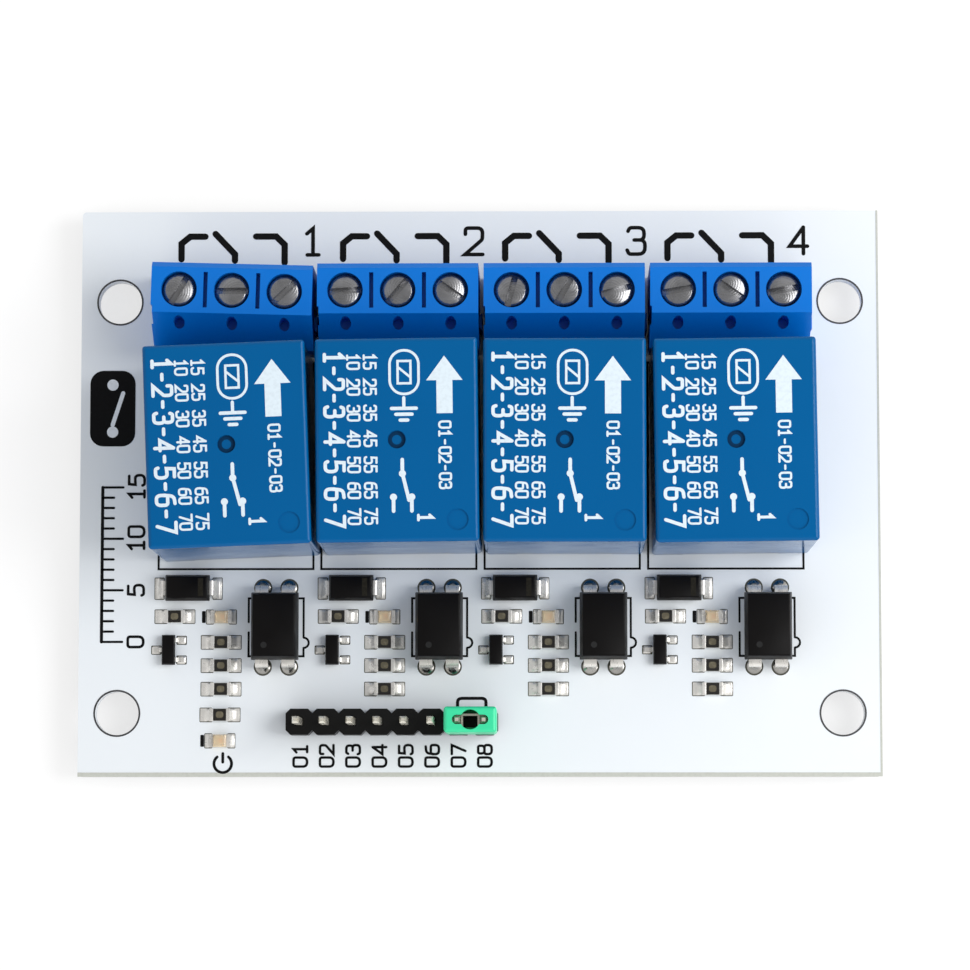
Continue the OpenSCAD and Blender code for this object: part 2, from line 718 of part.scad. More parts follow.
// Wire entry with a flared mouth
module entry_profile() {
    mouth = block_depth - entry_flare;
    top = entry_sill + entry_h;
    polygon([
        [screw_y, entry_sill], [mouth, entry_sill], [block_depth + eps, entry_sill - entry_flare],
        [block_depth + eps, top + entry_flare], [mouth, top], [screw_y, top]
    ]);
}

// Blind upright hole in the sloping rear, in line with the screw
module vent_hole() {
    slope_h = block_h - slope_z;
    translate([0, slope_run - vent_inset, block_h - slope_h * vent_inset / slope_run - vent_depth])
        cylinder(slope_h, d = vent_d, $fn = 24);
}

module terminal_screw(c, p) {
    color("gainsboro")
        at_block(c) translate([pole_x(p), screw_y, 0]) difference() {
            union() {
                translate([0, 0, well_floor]) rotate_extrude($fn = 48) head_profile();
                translate([0, 0, shank_end]) cylinder(well_floor - shank_end + eps, d = shank_d, $fn = 48);
            }
            translate([0, 0, well_floor + head_h]) rotate(slot_angles[c - 1][p - 1])
                cube([head_d + 1, slot_w, 2 * slot_depth], center = true);
        }
}

// Half section of the screw head, with a rounded rim
module head_profile() {
    r = head_d / 2;
    square([r, head_h - head_rim]);
    square([r - head_rim, head_h]);
    intersection() {
        square([r, head_h]);
        translate([r - head_rim, head_h - head_rim]) circle(head_rim, $fn = 32);
    }
}

// Cage that rises with the screw and pulls the wire against the fixed bar
module wire_clamp(c, p) {
    bore = shank_d + 2 * thread_clearance;
    inner = cage_w - 2 * cage_side;
    color("darkgray")
        at_block(c) translate([pole_x(p), screw_y, cage_open_z]) difference() {
            along_y(cage_depth) difference() {
                translate([-cage_w / 2, 0]) square([cage_w, cage_h]);
                translate([-inner / 2, cage_bottom]) square([inner, cage_window]);
            }
            translate([0, 0, cage_bottom + cage_window / 2]) cylinder(cage_h, d = bore, $fn = 48);
        }
}

// Fixed contact bars with their solder pins, one for each pole
module terminal_pins() {
    bar_l = screw_y + cage_depth / 2 - bar_rear;
    color("lightgray")
        for (q = POLE) at_block(q[0]) translate([pole_x(q[1]), bar_rear, 0]) {
            translate([-bar_w / 2, 0, bar_z]) cube([bar_w, bar_l, bar_t]);
            translate([-terminal_pin_w / 2, 0, -tail_drop]) cube([terminal_pin_w, bar_t, tail_drop + bar_top]);
        }
}

// ---------------------------------------------------------------- pin header and jumper
module header_body() {
    hole = header_pin_w + 2 * header_fit;
    color([0.09, 0.09, 0.1])
        difference() {
            for (i = [1:header_pins_n]) translate([header_pin_x(i), header_y, board_top])
                linear_extrude(header_h) header_segment();
            for (i = [1:header_pins_n]) translate([header_pin_x(i), header_y, board_top + header_h / 2])
                cube([hole, hole, header_h + 2], center = true);
        }
}

// One eight-cornered section of the header's moulding
module header_segment() {
    a = header_pitch / 2 + eps;
    b = header_w / 2;
    cut = header_cut;
    polygon([
        [-a, -b + cut], [-a + cut, -b], [a - cut, -b], [a, -b + cut],
        [a, b - cut], [a - cut, b], [-a + cut, b], [-a, b - cut]
    ]);
}

module header_pins() {
    low = board_top - board_t - header_tail_l;
    high = board_top + header_h + header_pin_over;
    color("gold")
        for (i = [1:header_pins_n]) translate([header_pin_x(i), header_y, low]) intersection() {
            along_y(header_w) pin_profile(high - low);
            along_x(header_w) pin_profile(high - low);
        }
}

// Square pin with a tapered tip at each end
module pin_profile(h) {
    w = header_pin_w / 2;
    t = w / 2;
    polygon([
        [-t, 0], [t, 0], [w, header_tip], [w, h - header_tip],
        [t, h], [-t, h], [-w, h - header_tip], [-w, header_tip]
    ]);
}

module at_jumper() {
    middle = (header_pin_x(jumper_pin) + header_pin_x(jumper_pin + 1)) / 2;
    translate([middle, header_y, board_top + header_h + jumper_seat]) children();
}

module jumper_shell() {
    color("mediumaquamarine")
        at_jumper() difference() {
            softened_block(jumper_l, jumper_w, jumper_h, jumper_edge_r);
            translate([0, 0, -1]) linear_extrude(jumper_h - jumper_roof + 1)
                rounded(jumper_l - 2 * jumper_wall, jumper_w - 2 * jumper_wall, jumper_edge_r);
            translate([0, 0, jumper_h / 2]) linear_extrude(jumper_h) jumper_opening();
        }
}

// Slot over both pins, with a round probe opening in its middle
module jumper_opening() {
    square([header_pitch, jumper_slot_w], center = true);
    for (x = [-1, 1]) translate([x * header_pitch / 2, 0]) circle(d = jumper_slot_w, $fn = 32);
    circle(d = jumper_probe_d, $fn = 48);
}

// Two square sleeves joined by a bridge along the shell's wall
module jumper_clip() {
    color("silver")
        at_jumper() translate([0, 0, clip_z]) difference() {
            union() {
                for (x = [-1, 1]) translate([x * header_pitch / 2, 0, clip_h / 2])
                    cube([sleeve_outer, sleeve_outer, clip_h], center = true);
                translate([-header_pitch / 2, sleeve / 2, 0]) cube([header_pitch, clip_t, clip_h]);
            }
            for (x = [-1, 1]) translate([x * header_pitch / 2, 0, clip_h / 2])
                cube([sleeve, sleeve, clip_h + 2], center = true);
        }
}

// ---------------------------------------------------------------- optocouplers
module optocouplers() {
    color([0.08, 0.08, 0.09])
        for (c = CHANNEL) at_channel(c, opto_at) {
            opto_body();
            for (x = [-1, 1], y = [-1, 1]) translate([x * opto_pitch / 2, 0, 0])
                mirror([0, y < 0 ? 1 : 0, 0]) opto_lead();
        }
}

module opto_body() {
    dot_d = 0.9;
    difference() {
        translate([0, 0, opto_lift]) drafted_body(opto_w, opto_l, opto_h, opto_draft, opto_h * 0.45);
        translate([-opto_w / 2 + 1.1, -opto_l / 2 + 1.2, opto_lift + opto_h - 0.08])
            cylinder(1, d = dot_d, $fn = 32);
    }
}

// Lead that leaves the parting line, turns down and narrows into the board
module opto_lead() {
    z = opto_lift + opto_h * 0.45;
    out = opto_row / 2 + opto_lead_t / 2;
    start = opto_l / 2 - 0.6;
    shoulder = 0.5;
    translate([-opto_shoulder_w / 2, start, z - opto_lead_t / 2])
        cube([opto_shoulder_w, out - start, opto_lead_t]);
    translate([-opto_shoulder_w / 2, out - opto_lead_t, shoulder])
        cube([opto_shoulder_w, opto_lead_t, z + opto_lead_t / 2 - shoulder]);
    translate([-opto_lead_w / 2, out - opto_lead_t, -board_t - opto_tail_l])
        cube([opto_lead_w, opto_lead_t, board_t + opto_tail_l + shoulder + eps]);
}

// ---------------------------------------------------------------- surface-mounted parts
module diodes() {
    color([0.1, 0.1, 0.11]) for (c = CHANNEL) at_channel(c, diode_at) diode();
}

module diode() {
    lift = pad_t + diode_lead_t / 2;
    z = diode_h * 0.5;
    translate([0, 0, lift]) drafted_body(diode_l, diode_w, diode_h - lift, diode_draft, z - lift);
    for (side = [0, 1]) mirror([side, 0, 0]) along_y(diode_lead_w) folded_lead(diode_l / 2 - 0.4, z);
}

// Lead that leaves the body at height z, folds down and tucks under it
module folded_lead(start, z) {
    out = diode_span / 2;
    t = diode_lead_t;
    foot = diode_l / 2 - 0.9;
    polygon([
        [start, z], [out - t, z], [out - t, pad_t + t], [foot, pad_t + t], [foot, pad_t],
        [out, pad_t], [out, z + t], [start, z + t]
    ]);
}

module transistors() {
    color([0.1, 0.1, 0.11]) for (c = CHANNEL) at_channel(c, transistor_at) transistor();
}

module transistor() {
    lift = pad_t + 0.05;
    z = transistor_h * 0.5;
    translate([0, 0, lift])
        drafted_body(transistor_w, transistor_l, transistor_h - lift, transistor_draft, z - lift);
    for (y = [-1, 1]) translate([0, y * transistor_pitch / 2, 0]) gull_lead(z);
    mirror([1, 0, 0]) gull_lead(z);
}

// Gull-wing lead: out of the side, down, and flat on its pad
module gull_lead(z) {
    start = transistor_w / 2 - 0.2;
    knee = transistor_w / 2 + 0.2;
    out = transistor_span / 2;
    t = transistor_lead_t;
    along_y(transistor_lead_w) polygon([
        [start, z], [knee - t, z], [knee - t, pad_t], [out, pad_t], [out, pad_t + t],
        [knee, pad_t + t], [knee, z + t], [start, z + t]
    ]);
}

module resistors() {
    color([0.13, 0.13, 0.15]) {
        for (c = CHANNEL, place = resistor_at) at_channel(c, place) chip(resistor_h);
        at_place(0, power_resistor_at) chip(resistor_h);
    }
}

// Flat chip with metal ends that wrap round it
module chip(h) {
    t = chip_end_t;
    translate([0, 0, pad_t + t + (h - 2 * t) / 2]) cube([chip_l - 2 * t, chip_w, h - 2 * t], center = true);
    for (side = [-1, 1]) translate([side * (chip_l - chip_end_l) / 2, 0, pad_t + h / 2])
        cube([chip_end_l, chip_w, h], center = true);
}

module indicator_lights() {
    color("palegoldenrod") {
        for (c = CHANNEL) at_channel(c, light_at) chip_light();
        at_place(0, power_light_at) chip_light();
    }
}

// Carrier with a clear block that leans in on its long sides
module chip_light() {
    lean = 0.1;
    z = pad_t + light_base_h;
    w = light_lens_l / 2;
    translate([0, 0, pad_t + light_base_h / 2]) cube([chip_l, chip_w, light_base_h], center = true);
    along_y(chip_w) polygon([[-w, z - eps], [w, z - eps], [w - lean, z + light_lens_h], [lean - w, z + light_lens_h]]);
}

// ---------------------------------------------------------------- what is drawn
circuit_board();
for (c = CHANNEL) {
    relay_cover(c);
    relay_base(c);
    relay_coil(c);
    relay_yoke(c);
    relay_armature(c);
    terminal_housing(c);
    for (p = [1:POLES]) {
        terminal_screw(c, p);
        wire_clamp(c, p);
    }
}
relay_contacts();
terminal_pins();
header_body();
header_pins();
jumper_shell();
jumper_clip();
optocouplers();
diodes();
transistors();
resistors();
indicator_lights();
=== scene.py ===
"""Visual model of a four-channel relay module board.

Laid out as an add-on and run as a script. Each operator dresses or builds one group of pieces round the
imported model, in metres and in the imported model's own frame: X along the relays, Y to the terminals, Z up.
"""

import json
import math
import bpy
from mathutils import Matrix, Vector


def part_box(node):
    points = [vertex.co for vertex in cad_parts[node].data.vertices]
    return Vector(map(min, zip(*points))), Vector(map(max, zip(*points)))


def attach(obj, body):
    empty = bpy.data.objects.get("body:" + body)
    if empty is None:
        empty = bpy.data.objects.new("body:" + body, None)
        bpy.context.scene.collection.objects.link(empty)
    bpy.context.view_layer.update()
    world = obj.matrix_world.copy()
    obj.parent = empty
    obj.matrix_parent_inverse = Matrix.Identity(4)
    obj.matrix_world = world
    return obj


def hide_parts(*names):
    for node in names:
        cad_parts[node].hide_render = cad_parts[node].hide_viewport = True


bl_info = {
    "name": "Relay module board",
    "version": (1, 0, 0),
    "blender": (4, 5, 0),
    "location": "3D View > Sidebar > Relay board",
    "description": "Print, solder, small parts, finishes and stage of a relay module board",
    "category": "Add Mesh",
}

import bmesh
import bpy
from bpy.props import FloatProperty, FloatVectorProperty, PointerProperty
from mathutils import Matrix, Vector

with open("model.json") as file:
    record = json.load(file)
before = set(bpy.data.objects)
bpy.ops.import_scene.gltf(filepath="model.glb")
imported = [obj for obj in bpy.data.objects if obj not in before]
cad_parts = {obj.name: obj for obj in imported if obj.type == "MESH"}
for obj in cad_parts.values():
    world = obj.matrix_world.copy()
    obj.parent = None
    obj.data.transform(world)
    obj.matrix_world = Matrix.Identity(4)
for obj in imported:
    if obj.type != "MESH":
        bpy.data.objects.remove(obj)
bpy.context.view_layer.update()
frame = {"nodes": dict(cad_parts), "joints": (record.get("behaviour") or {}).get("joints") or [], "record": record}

MM = 0.001
CHANNELS = range(1, 5)
POLES = range(1, 4)
BOARD_BODY = "board"
SHARP_ANGLE = math.radians(35)
# Depth of the gate dimple in a relay case, and the inner and outer radius of the dark ring of painted shade at its
# bottom.
GATE_DEPTH = 0.3 * MM
GATE_SHADE_RING = (0.45 * MM, 0.8 * MM)
# Printed lines that cross differ in height by such layers.
LAYER = 0.0012 * MM
# How far an added form reaches into what it stands on.
SINK = 0.01 * MM


# ---------------------------------------------------------------- settings
def linear(red, green, blue):
    """Scene-linear colour of a display colour given from 0 to 255."""
    return tuple(
        (c / 255 / 12.92) if c <= 10 else ((c / 255 + 0.055) / 1.055) ** 2.4 for c in (red, green, blue)
    )


def length(name, description, millimetres):
    """A length property with its default in millimetres."""
    return FloatProperty(
        name=name,
        description=description,
        default=millimetres * MM,
        min=0.0,
        precision=5,
        subtype="DISTANCE",
        unit="LENGTH",
    )


def tint(name, description, red, green, blue):
    """A colour property with its default as a display colour."""
    return FloatVectorProperty(
        name=name,
        description=description,
        default=linear(red, green, blue),
        min=0.0,
        max=1.0,
        subtype="COLOR",
    )


def share(name, description, default):
    """A property from 0 to 1."""
    return FloatProperty(
        name=name, description=description, default=default, min=0.0, max=1.0, subtype="FACTOR"
    )


class BoardSettings(bpy.types.PropertyGroup):
    """Circuit board, its print and its solder."""

    mask: tint("Solder mask", "Colour of the board's two faces", 233, 238, 242)
    laminate: tint("Laminate", "Colour of the board's cut and bare edges", 194, 196, 188)
    ink: tint("Board ink", "Colour of the print on the board", 9, 9, 10)
    solder: tint("Solder", "Colour of solder and tinned metal", 236, 233, 227)
    # Dark grey of the hole rings, partly painted shade of the holes' walls.
    ring: tint("Hole rings", "Colour of the rings round the mounting holes", 92, 92, 94)
    # Pad surround: bare laminate round the pads, drawn much darker than the laminate as painted shade at the
    # joints' edges.
    clearance: tint("Pad surround", "Colour of the bare laminate round the pads", 74, 74, 66)
    # Painted shade: width of a laminate-coloured strip along the front and right edges only, standing in for the
    # board's edge and the shadow under it.
    bare_edge: length("Bare edge", "Width of the bare laminate along the front and right edges", 0.4)
    clearance_width: length("Pad surround width", "Width of the bare laminate round the pads", 0.08)
    ink_height: length("Ink height", "How far the print stands over the surface", 0.02)
    symbol_stroke: length("Symbol stroke", "Width of the lines of the switch symbols", 0.62)
    line_stroke: length("Outline stroke", "Width of the part outlines", 0.2)
    numeral_height: length("Channel numerals", "Height of the numerals by the terminals", 2.6)
    pad_height: length("Pad height", "Height of the tinned pads", 0.05)


class RelaySettings(bpy.types.PropertyGroup):
    """Relay cases and their insides."""

    case: tint("Case", "Colour of the relay cases", 0, 88, 146)
    ink: tint("Case ink", "Colour of the print on the relays", 216, 229, 238)
    bobbin: tint("Bobbin", "Colour of the coil's bobbin", 206, 202, 190)
    winding: tint("Winding", "Colour of the enamelled copper", 150, 70, 30)
    iron: tint("Iron", "Colour of the yoke and armature", 168, 168, 170)
    contact: tint("Contact metal", "Colour of pins and contact blades", 196, 176, 140)


class TerminalSettings(bpy.types.PropertyGroup):
    """Screw terminal blocks."""

    housing: tint("Housing", "Colour of the terminal housings", 0, 113, 208)
    screw: tint("Screws", "Colour of the terminal screws", 152, 152, 154)
    clamp: tint("Clamps", "Colour of the wire clamps", 176, 174, 168)
    askew: length("Dome offset", "How far the dome of a screw's head lies off its middle", 0.7)


class HeaderSettings(bpy.types.PropertyGroup):
    """Pin header and jumper."""

    body: tint("Header body", "Colour of the header's moulding", 8, 8, 8)
    pin: tint("Header pins", "Colour of the header's pins", 232, 227, 212)
    jumper: tint("Jumper", "Colour of the jumper's shell", 56, 214, 156)


class PartSettings(bpy.types.PropertyGroup):
    """Small electronic parts."""

    moulding: tint("Moulding", "Colour of the black mouldings", 7, 5, 5)
    glaze: tint("Resistor glaze", "Colour of the resistors' top glaze", 26, 23, 19)
    ceramic: tint("Ceramic", "Colour of the resistors' ceramic", 196, 196, 190)
    mark: tint("Part marks", "Colour of the marks on small parts", 98, 92, 76)
    carrier: tint("Light carrier", "Colour of the lights' carrier", 232, 216, 176)
    lens: tint("Lens", "Colour of the lights' clear resin", 255, 238, 206)
    die: tint("Light die", "Colour of the die in the lights", 236, 150, 52)
    corner_round: length("Moulding edges", "Radius of the edges of moulded parts", 0.12)


class StageSettings(bpy.types.PropertyGroup):
    """Floor, world, lamp and camera."""

    floor: share("Floor tone", "How much of the lamps' light the floor gives back", 0.38)
    floor_lift: share("Floor lift", "Plain white added to the floor for the camera", 0.66)
    fill: FloatProperty(name="Fill", description="Strength of the world's light", default=1.08, min=0.0)
    overhead: share("Overhead", "How bright the light is straight overhead, where the camera stands", 0.36)
    lean: share("Lean", "How much brighter the soft light is from the right than from the left", 0.2)
    front: share("Front light", "How much brighter the soft light is from the front than from behind", 0.4)
    key: FloatProperty(
        name="Key lamp",
        description="Power of the large soft lamp",
        default=0.8,
        min=0.0,
        subtype="POWER",
        unit="POWER",
    )
    key_size: length("Key size", "Width of the large soft lamp", 240)
    camera_height: length("Camera height", "Height of the camera over the floor", 384.15)
    camera_side: length("Camera side", "How far the camera stands to the right of the middle", 6.592)
    camera_front: length("Camera front", "How far the camera stands to the front of the middle", 35.76)
    lens: FloatProperty(name="Lens", description="Focal length on a 36 mm sensor", default=146.5, min=1.0)


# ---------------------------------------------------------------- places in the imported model
def middle(box):
    """Middle of a box given by its lowest and highest corner."""
    return (Vector(box[0]) + Vector(box[1])) / 2


def box_of(points):
    """Lowest and highest corner of some points."""
    low = Vector(min(p[i] for p in points) for i in range(3))
    high = Vector(max(p[i] for p in points) for i in range(3))
    return low, high


def groups(points, reach):
    """Splits points into groups whose members lie within reach of each other in plan."""
    left, found = list(points), []
    while left:
        group, edge = [], [left.pop()]
        while edge:
            here = edge.pop()
            group.append(here)
            near = [p for p in left if (p - here).xy.length < reach]
            left = [p for p in left if (p - here).xy.length >= reach]
            edge += near
        found.append(group)
    return found


def solids(node):
    """Boxes of a node's separate solids, from left to right and then from front to back."""
    same_spot = 0.0002 * MM
    work = bmesh.new()
    work.from_mesh(frame["nodes"][node].data)
    bmesh.ops.remove_doubles(work, verts=work.verts, dist=same_spot)
    seen, boxes = set(), []
    for start in work.verts:
        if start in seen:
            continue
        seen.add(start)
        island, edge = [], [start]
        while edge:
            here = edge.pop()
            island.append(here.co.copy())
            for link in here.link_edges:
                other = link.other_vert(here)
                if other not in seen:
                    seen.add(other)
                    edge.append(other)
        boxes.append(box_of(island))
    work.free()
    return sorted(boxes, key=lambda b: (round(b[0].x, 4), round(b[0].y, 4)))


BOARD_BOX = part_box("circuit_board")
BOARD_TOP = BOARD_BOX[1].z
BOARD_UNDER = BOARD_BOX[0].z


def parts_of(node):
    """Number, middle, lowest and highest corner of each of a node's separate solids."""
    return [(number, (low + high) / 2, low, high) for number, (low, high) in enumerate(solids(node), 1)]


def feet(node):
    """Middle, lowest and highest corner of each of a node's leads where it comes out under the board."""
    clear, reach = 0.3 * MM, 1.3 * MM
    low_points = [v.co.copy() for v in frame["nodes"][node].data.vertices if v.co.z < BOARD_UNDER - clear]
    boxes = [box_of(points) for points in groups(low_points, reach)]
    return [((low + high) / 2, low, high) for low, high in boxes]


def terminal_middle(channel):
    """Middle of a terminal block in plan, which its middle screw marks."""
    return middle(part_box(f"terminal_screw_{channel}_2")).x


def relay_place(channel):
    """Matrix that puts a relay's own middle, at the top of its case, in its place."""
    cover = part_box(f"relay_cover_{channel}")
    hinge = next(j for j in frame["joints"] if j["name"] == f"armature_{channel}_pull_in")
    turn = math.atan2(-hinge["axis"][1], -hinge["axis"][0])
    spot = middle(cover)
    return Matrix.Translation((spot.x, spot.y, cover[1].z)) @ Matrix.Rotation(turn, 4, "Z")


# ---------------------------------------------------------------- outlines and paths
def arc(x, y, radius, start, end, steps=8):
    """Points along an arc, from one angle to another in degrees."""
    angles = (math.radians(start + (end - start) * i / steps) for i in range(steps + 1))
    return [(x + radius * math.cos(a), y + radius * math.sin(a)) for a in angles]


def circle(x, y, radius, steps=32):
    """Points round a full circle."""
    return arc(x, y, radius, 0, 360, steps)[:-1]


def rounded_rectangle(width, depth, radius, steps=4):
    """Outline of a rectangle about the origin with rounded corners."""
    x, y = width / 2 - radius, depth / 2 - radius
    return (
        arc(x, y, radius, 0, 90, steps)
        + arc(-x, y, radius, 90, 180, steps)
        + arc(-x, -y, radius, 180, 270, steps)
        + arc(x, -y, radius, 270, 360, steps)
    )


def soft_path(points, radius, steps=4):
    """A line with its inner corners rounded. A point's third value is a radius of its own."""
    path = [tuple(points[0][:2])]
    for before, here, after in zip(points, points[1:], points[2:]):
        own = here[2] if len(here) > 2 else radius
        corner, back, on = Vector(here[:2]), Vector(before[:2]), Vector(after[:2])
        to_back, to_on = (back - corner).normalized(), (on - corner).normalized()
        opening = to_back.angle(to_on, math.pi)
        if own <= 0 or opening > math.radians(178):
            path.append(tuple(corner))
            continue
        run = min(own / math.tan(opening / 2), (back - corner).length * 0.5, (on - corner).length * 0.5)
        start, end = corner + to_back * run, corner + to_on * run
        for i in range(steps + 1):
            t = i / steps
            path.append(tuple(start * (1 - t) ** 2 + corner * 2 * t * (1 - t) + end * t**2))
    path.append(tuple(points[-1][:2]))
    return path


def side_steps(points, loop=False):
    """For each point of a line, its unit step to the left, longer where the line turns."""
    count, steps = len(points), []
    for i, here in enumerate(points):
        back = points[i - 1] if i or loop else None
        on = points[(i + 1) % count] if i < count - 1 or loop else None
        runs = []
        if back is not None:
            runs.append((Vector(here) - Vector(back)).normalized())
        if on is not None:
            runs.append((Vector(on) - Vector(here)).normalized())
        lefts = [Vector((-r.y, r.x)) for r in runs]
        mean = sum(lefts, Vector((0, 0)))
        mean = mean.normalized() if mean.length > 1e-6 else lefts[0]
        steps.append(mean / max(mean.dot(lefts[0]), 0.35))
    return steps


# Strokes of each numeral on a grid 4 wide and 6 high; a line that ends where it began is closed.
NUMERALS = {
    "0": [[(2, 6), (0, 6, 1.9), (0, 0, 1.9), (4, 0, 1.9), (4, 6, 1.9), (2, 6)]],
    "1": [[(0.8, 4.8), (2.2, 6), (2.2, 0)], [(0.9, 0), (3.5, 0)]],
    "2": [[(0.1, 4.6), (0.1, 6, 1.3), (4, 6, 1.6), (3.9, 3.4, 1), (0, 0), (4, 0)]],
    "3": [[(0.2, 5.2), (0.6, 6, 1), (3.8, 6, 1.3), (3.8, 3.2, 1.3), (1.6, 3.2)],
          [(1.6, 3.2), (4, 3.2, 1.5), (4, 0, 1.5), (0.4, 0, 1.2), (0, 0.9)]],
    "4": [[(4, 1.7), (0, 1.7), (3.1, 6)], [(3.1, 6), (3.1, 0)]],
    "5": [[(3.7, 6), (0.5, 6), (0.3, 3.5), (4, 3.8, 1.6), (4, 0, 1.7), (0.4, 0, 1.2), (0, 0.8)]],
    "6": [[(3.4, 5.9), (0.4, 5.6, 2), (0, 2)],
          [(2, 3.6), (0, 3.6, 1.6), (0, 0, 1.6), (4, 0, 1.6), (4, 3.6, 1.6), (2, 3.6)]],
    "7": [[(0, 6), (4, 6), (1.4, 0)]],
    "8": [[(2, 6), (0.3, 6, 1.3), (0.3, 3.2, 1.3), (3.7, 3.2, 1.3), (3.7, 6, 1.3), (2, 6)],
          [(2, 3.2), (0, 3.2, 1.5), (0, 0, 1.5), (4, 0, 1.5), (4, 3.2, 1.5), (2, 3.2)]],
    "9": [[(0.6, 0.1), (3.6, 0.4, 2), (4, 4)],
          [(2, 2.4), (0, 2.4, 1.6), (0, 6, 1.6), (4, 6, 1.6), (4, 2.4, 1.6), (2, 2.4)]],
    "-": [[(0.9, 3), (3.1, 3)]],
    " ": [],
}
NUMERAL_WIDTH, NUMERAL_RISE, NUMERAL_STEP = 4, 6, 5.5


# ---------------------------------------------------------------- mesh building
class Shape:
    """Gathers closed forms into one mesh, each at the current place and in the current finish."""

    def __init__(self):
        self.mesh = bmesh.new()
        self.place = Matrix.Identity(4)
        self.finish = 0
        self.lines = 0

    def at(self, x=0.0, y=0.0, z=0.0, turn=0.0, base=None):
        """Sets where the next forms go: a turn about Z in degrees, then a move, on top of a base matrix."""
        own = Matrix.Translation((x, y, z)) @ Matrix.Rotation(math.radians(turn), 4, "Z")
        self.place = base @ own if base is not None else own
        return self

    def loft(self, rings, loop=False):
        """Closed skin through rings of equally many points; loop joins the last ring to the first."""
        rows = [[self.mesh.verts.new(self.place @ Vector(p)) for p in ring] for ring in rings]
        count = len(rows[0])
        pairs = list(zip(rows, rows[1:])) + ([(rows[-1], rows[0])] if loop else [])
        faces = []
        for low, high in pairs:
            for i in range(count):
                j = (i + 1) % count
                faces.append(self.mesh.faces.new((low[i], low[j], high[j], high[i])))
        if not loop:
            faces.append(self.mesh.faces.new(rows[0]))
            faces.append(self.mesh.faces.new(rows[-1]))
        for face in faces:
            face.material_index = self.finish
        return self

    def prism(self, outline, low, high):
        """Upright form over an outline."""
        return self.loft([[(x, y, z) for x, y in outline] for z in (low, high)])

    def pillow(self, outline_at, levels):
        """Form whose outline changes with height: outline_at(value) at each level (height, value)."""
        return self.loft([[(x, y, z) for x, y in outline_at(value)] for z, value in levels])

    def turned(self, profile, steps=20):
        """Solid of revolution about Z, through (radius, height) points."""
        return self.loft([[(x, y, z) for x, y in circle(0, 0, r, steps)] for r, z in profile])

    def ring(self, inner, outer, low, high, steps=48):
        """Flat ring about Z."""
        section = ((inner, low), (outer, low), (outer, high), (inner, high))
        spokes = (2 * math.pi * i / steps for i in range(steps))
        return self.loft(
            [[(r * math.cos(a), r * math.sin(a), z) for r, z in section] for a in spokes], loop=True
        )

    def stroke(self, points, width, low, high, loop=False):
        """Printed line along points, round at its open ends. Crossing lines differ a little in height."""
        half = width / 2
        self.lines += 1
        high += (self.lines % 5) * LAYER
        rows = list(zip([Vector(p) for p in points], side_steps(points, loop), [half] * len(points)))
        if not loop:
            rows = self.round_end(rows[0], points[1], half)[::-1] + rows
            rows += self.round_end(rows[-1], points[-2], half)
        rings = []
        for spot, left, reach in rows:
            a, b = spot + left * reach, spot - left * reach
            rings.append([(a.x, a.y, low), (b.x, b.y, low), (b.x, b.y, high), (a.x, a.y, high)])
        return self.loft(rings, loop=loop)

    @staticmethod
    def round_end(last, before, half):
        """Rows that close a line's end in a half circle."""
        spot, left, _ = last
        out = (spot - Vector(before)).normalized()
        rows = []
        for degrees in (30, 55, 75, 87):
            a = math.radians(degrees)
            rows.append((spot + out * half * math.sin(a), left, half * math.cos(a)))
        return rows

    def strip(self, path, widths, thickness, across="x"):
        """Bent metal strip: path in the upright plane, with one width at each point or one for all."""
        if not isinstance(widths, (list, tuple)):
            widths = [widths] * len(path)
        rings = []
        for (u, z), step, width in zip(path, side_steps(path), widths):
            du, dz = step * thickness / 2
            flat = [(-1, u - du, z - dz), (1, u - du, z - dz), (1, u + du, z + dz), (-1, u + du, z + dz)]
            if across == "x":
                rings.append([(s * width / 2, v, h) for s, v, h in flat])
            else:
                rings.append([(v, s * width / 2, h) for s, v, h in flat])
        return self.loft(rings)

    def mound(self, length_x, length_y, rise, base, columns=8, rows=6):
        """Solder heap over a rectangle about the origin. Its height is rise(u, v), u and v from 0 to 1."""
        def spot(i, j, height):
            return ((i / columns - 0.5) * length_x, (j / rows - 0.5) * length_y, height)

        top = [
            [self.mesh.verts.new(self.place @ Vector(spot(i, j, base + rise(i / columns, j / rows))))
             for j in range(rows + 1)] for i in range(columns + 1)
        ]
        rim = (
            [(i, 0) for i in range(columns)] + [(columns, j) for j in range(rows)]
            + [(i, rows) for i in range(columns, 0, -1)] + [(0, j) for j in range(rows, 0, -1)]
        )
        low = [self.mesh.verts.new(self.place @ Vector(spot(i, j, base - SINK))) for i, j in rim]
        faces = [
            self.mesh.faces.new((top[i][j], top[i + 1][j], top[i + 1][j + 1], top[i][j + 1]))
            for i in range(columns) for j in range(rows)
        ]
        count = len(rim)
        for k in range(count):
            (a, b), (c, d) = rim[k], rim[(k + 1) % count]
            faces.append(self.mesh.faces.new((top[a][b], low[k], low[(k + 1) % count], top[c][d])))
        faces.append(self.mesh.faces.new(low))
        for face in faces:
            face.material_index = self.finish
        return self

    def numerals(self, text, height, width, low, high, narrow=1.0):
        """Numerals drawn in strokes, centred on the current place; narrow squeezes them along the line."""
        scale = height / NUMERAL_RISE
        start = -((len(text) - 1) * NUMERAL_STEP + NUMERAL_WIDTH) / 2
        for place, character in enumerate(text):
            for line in NUMERALS[character]:
                drawn = [
                    ((start + place * NUMERAL_STEP + x) * scale * narrow, (y - NUMERAL_RISE / 2) * scale)
                    for x, y in soft_path(line, 0, 5)
                ]
                closed = line[0][:2] == line[-1][:2]
                self.stroke(drawn[:-1] if closed else drawn, width, low, high, loop=closed)
        return self

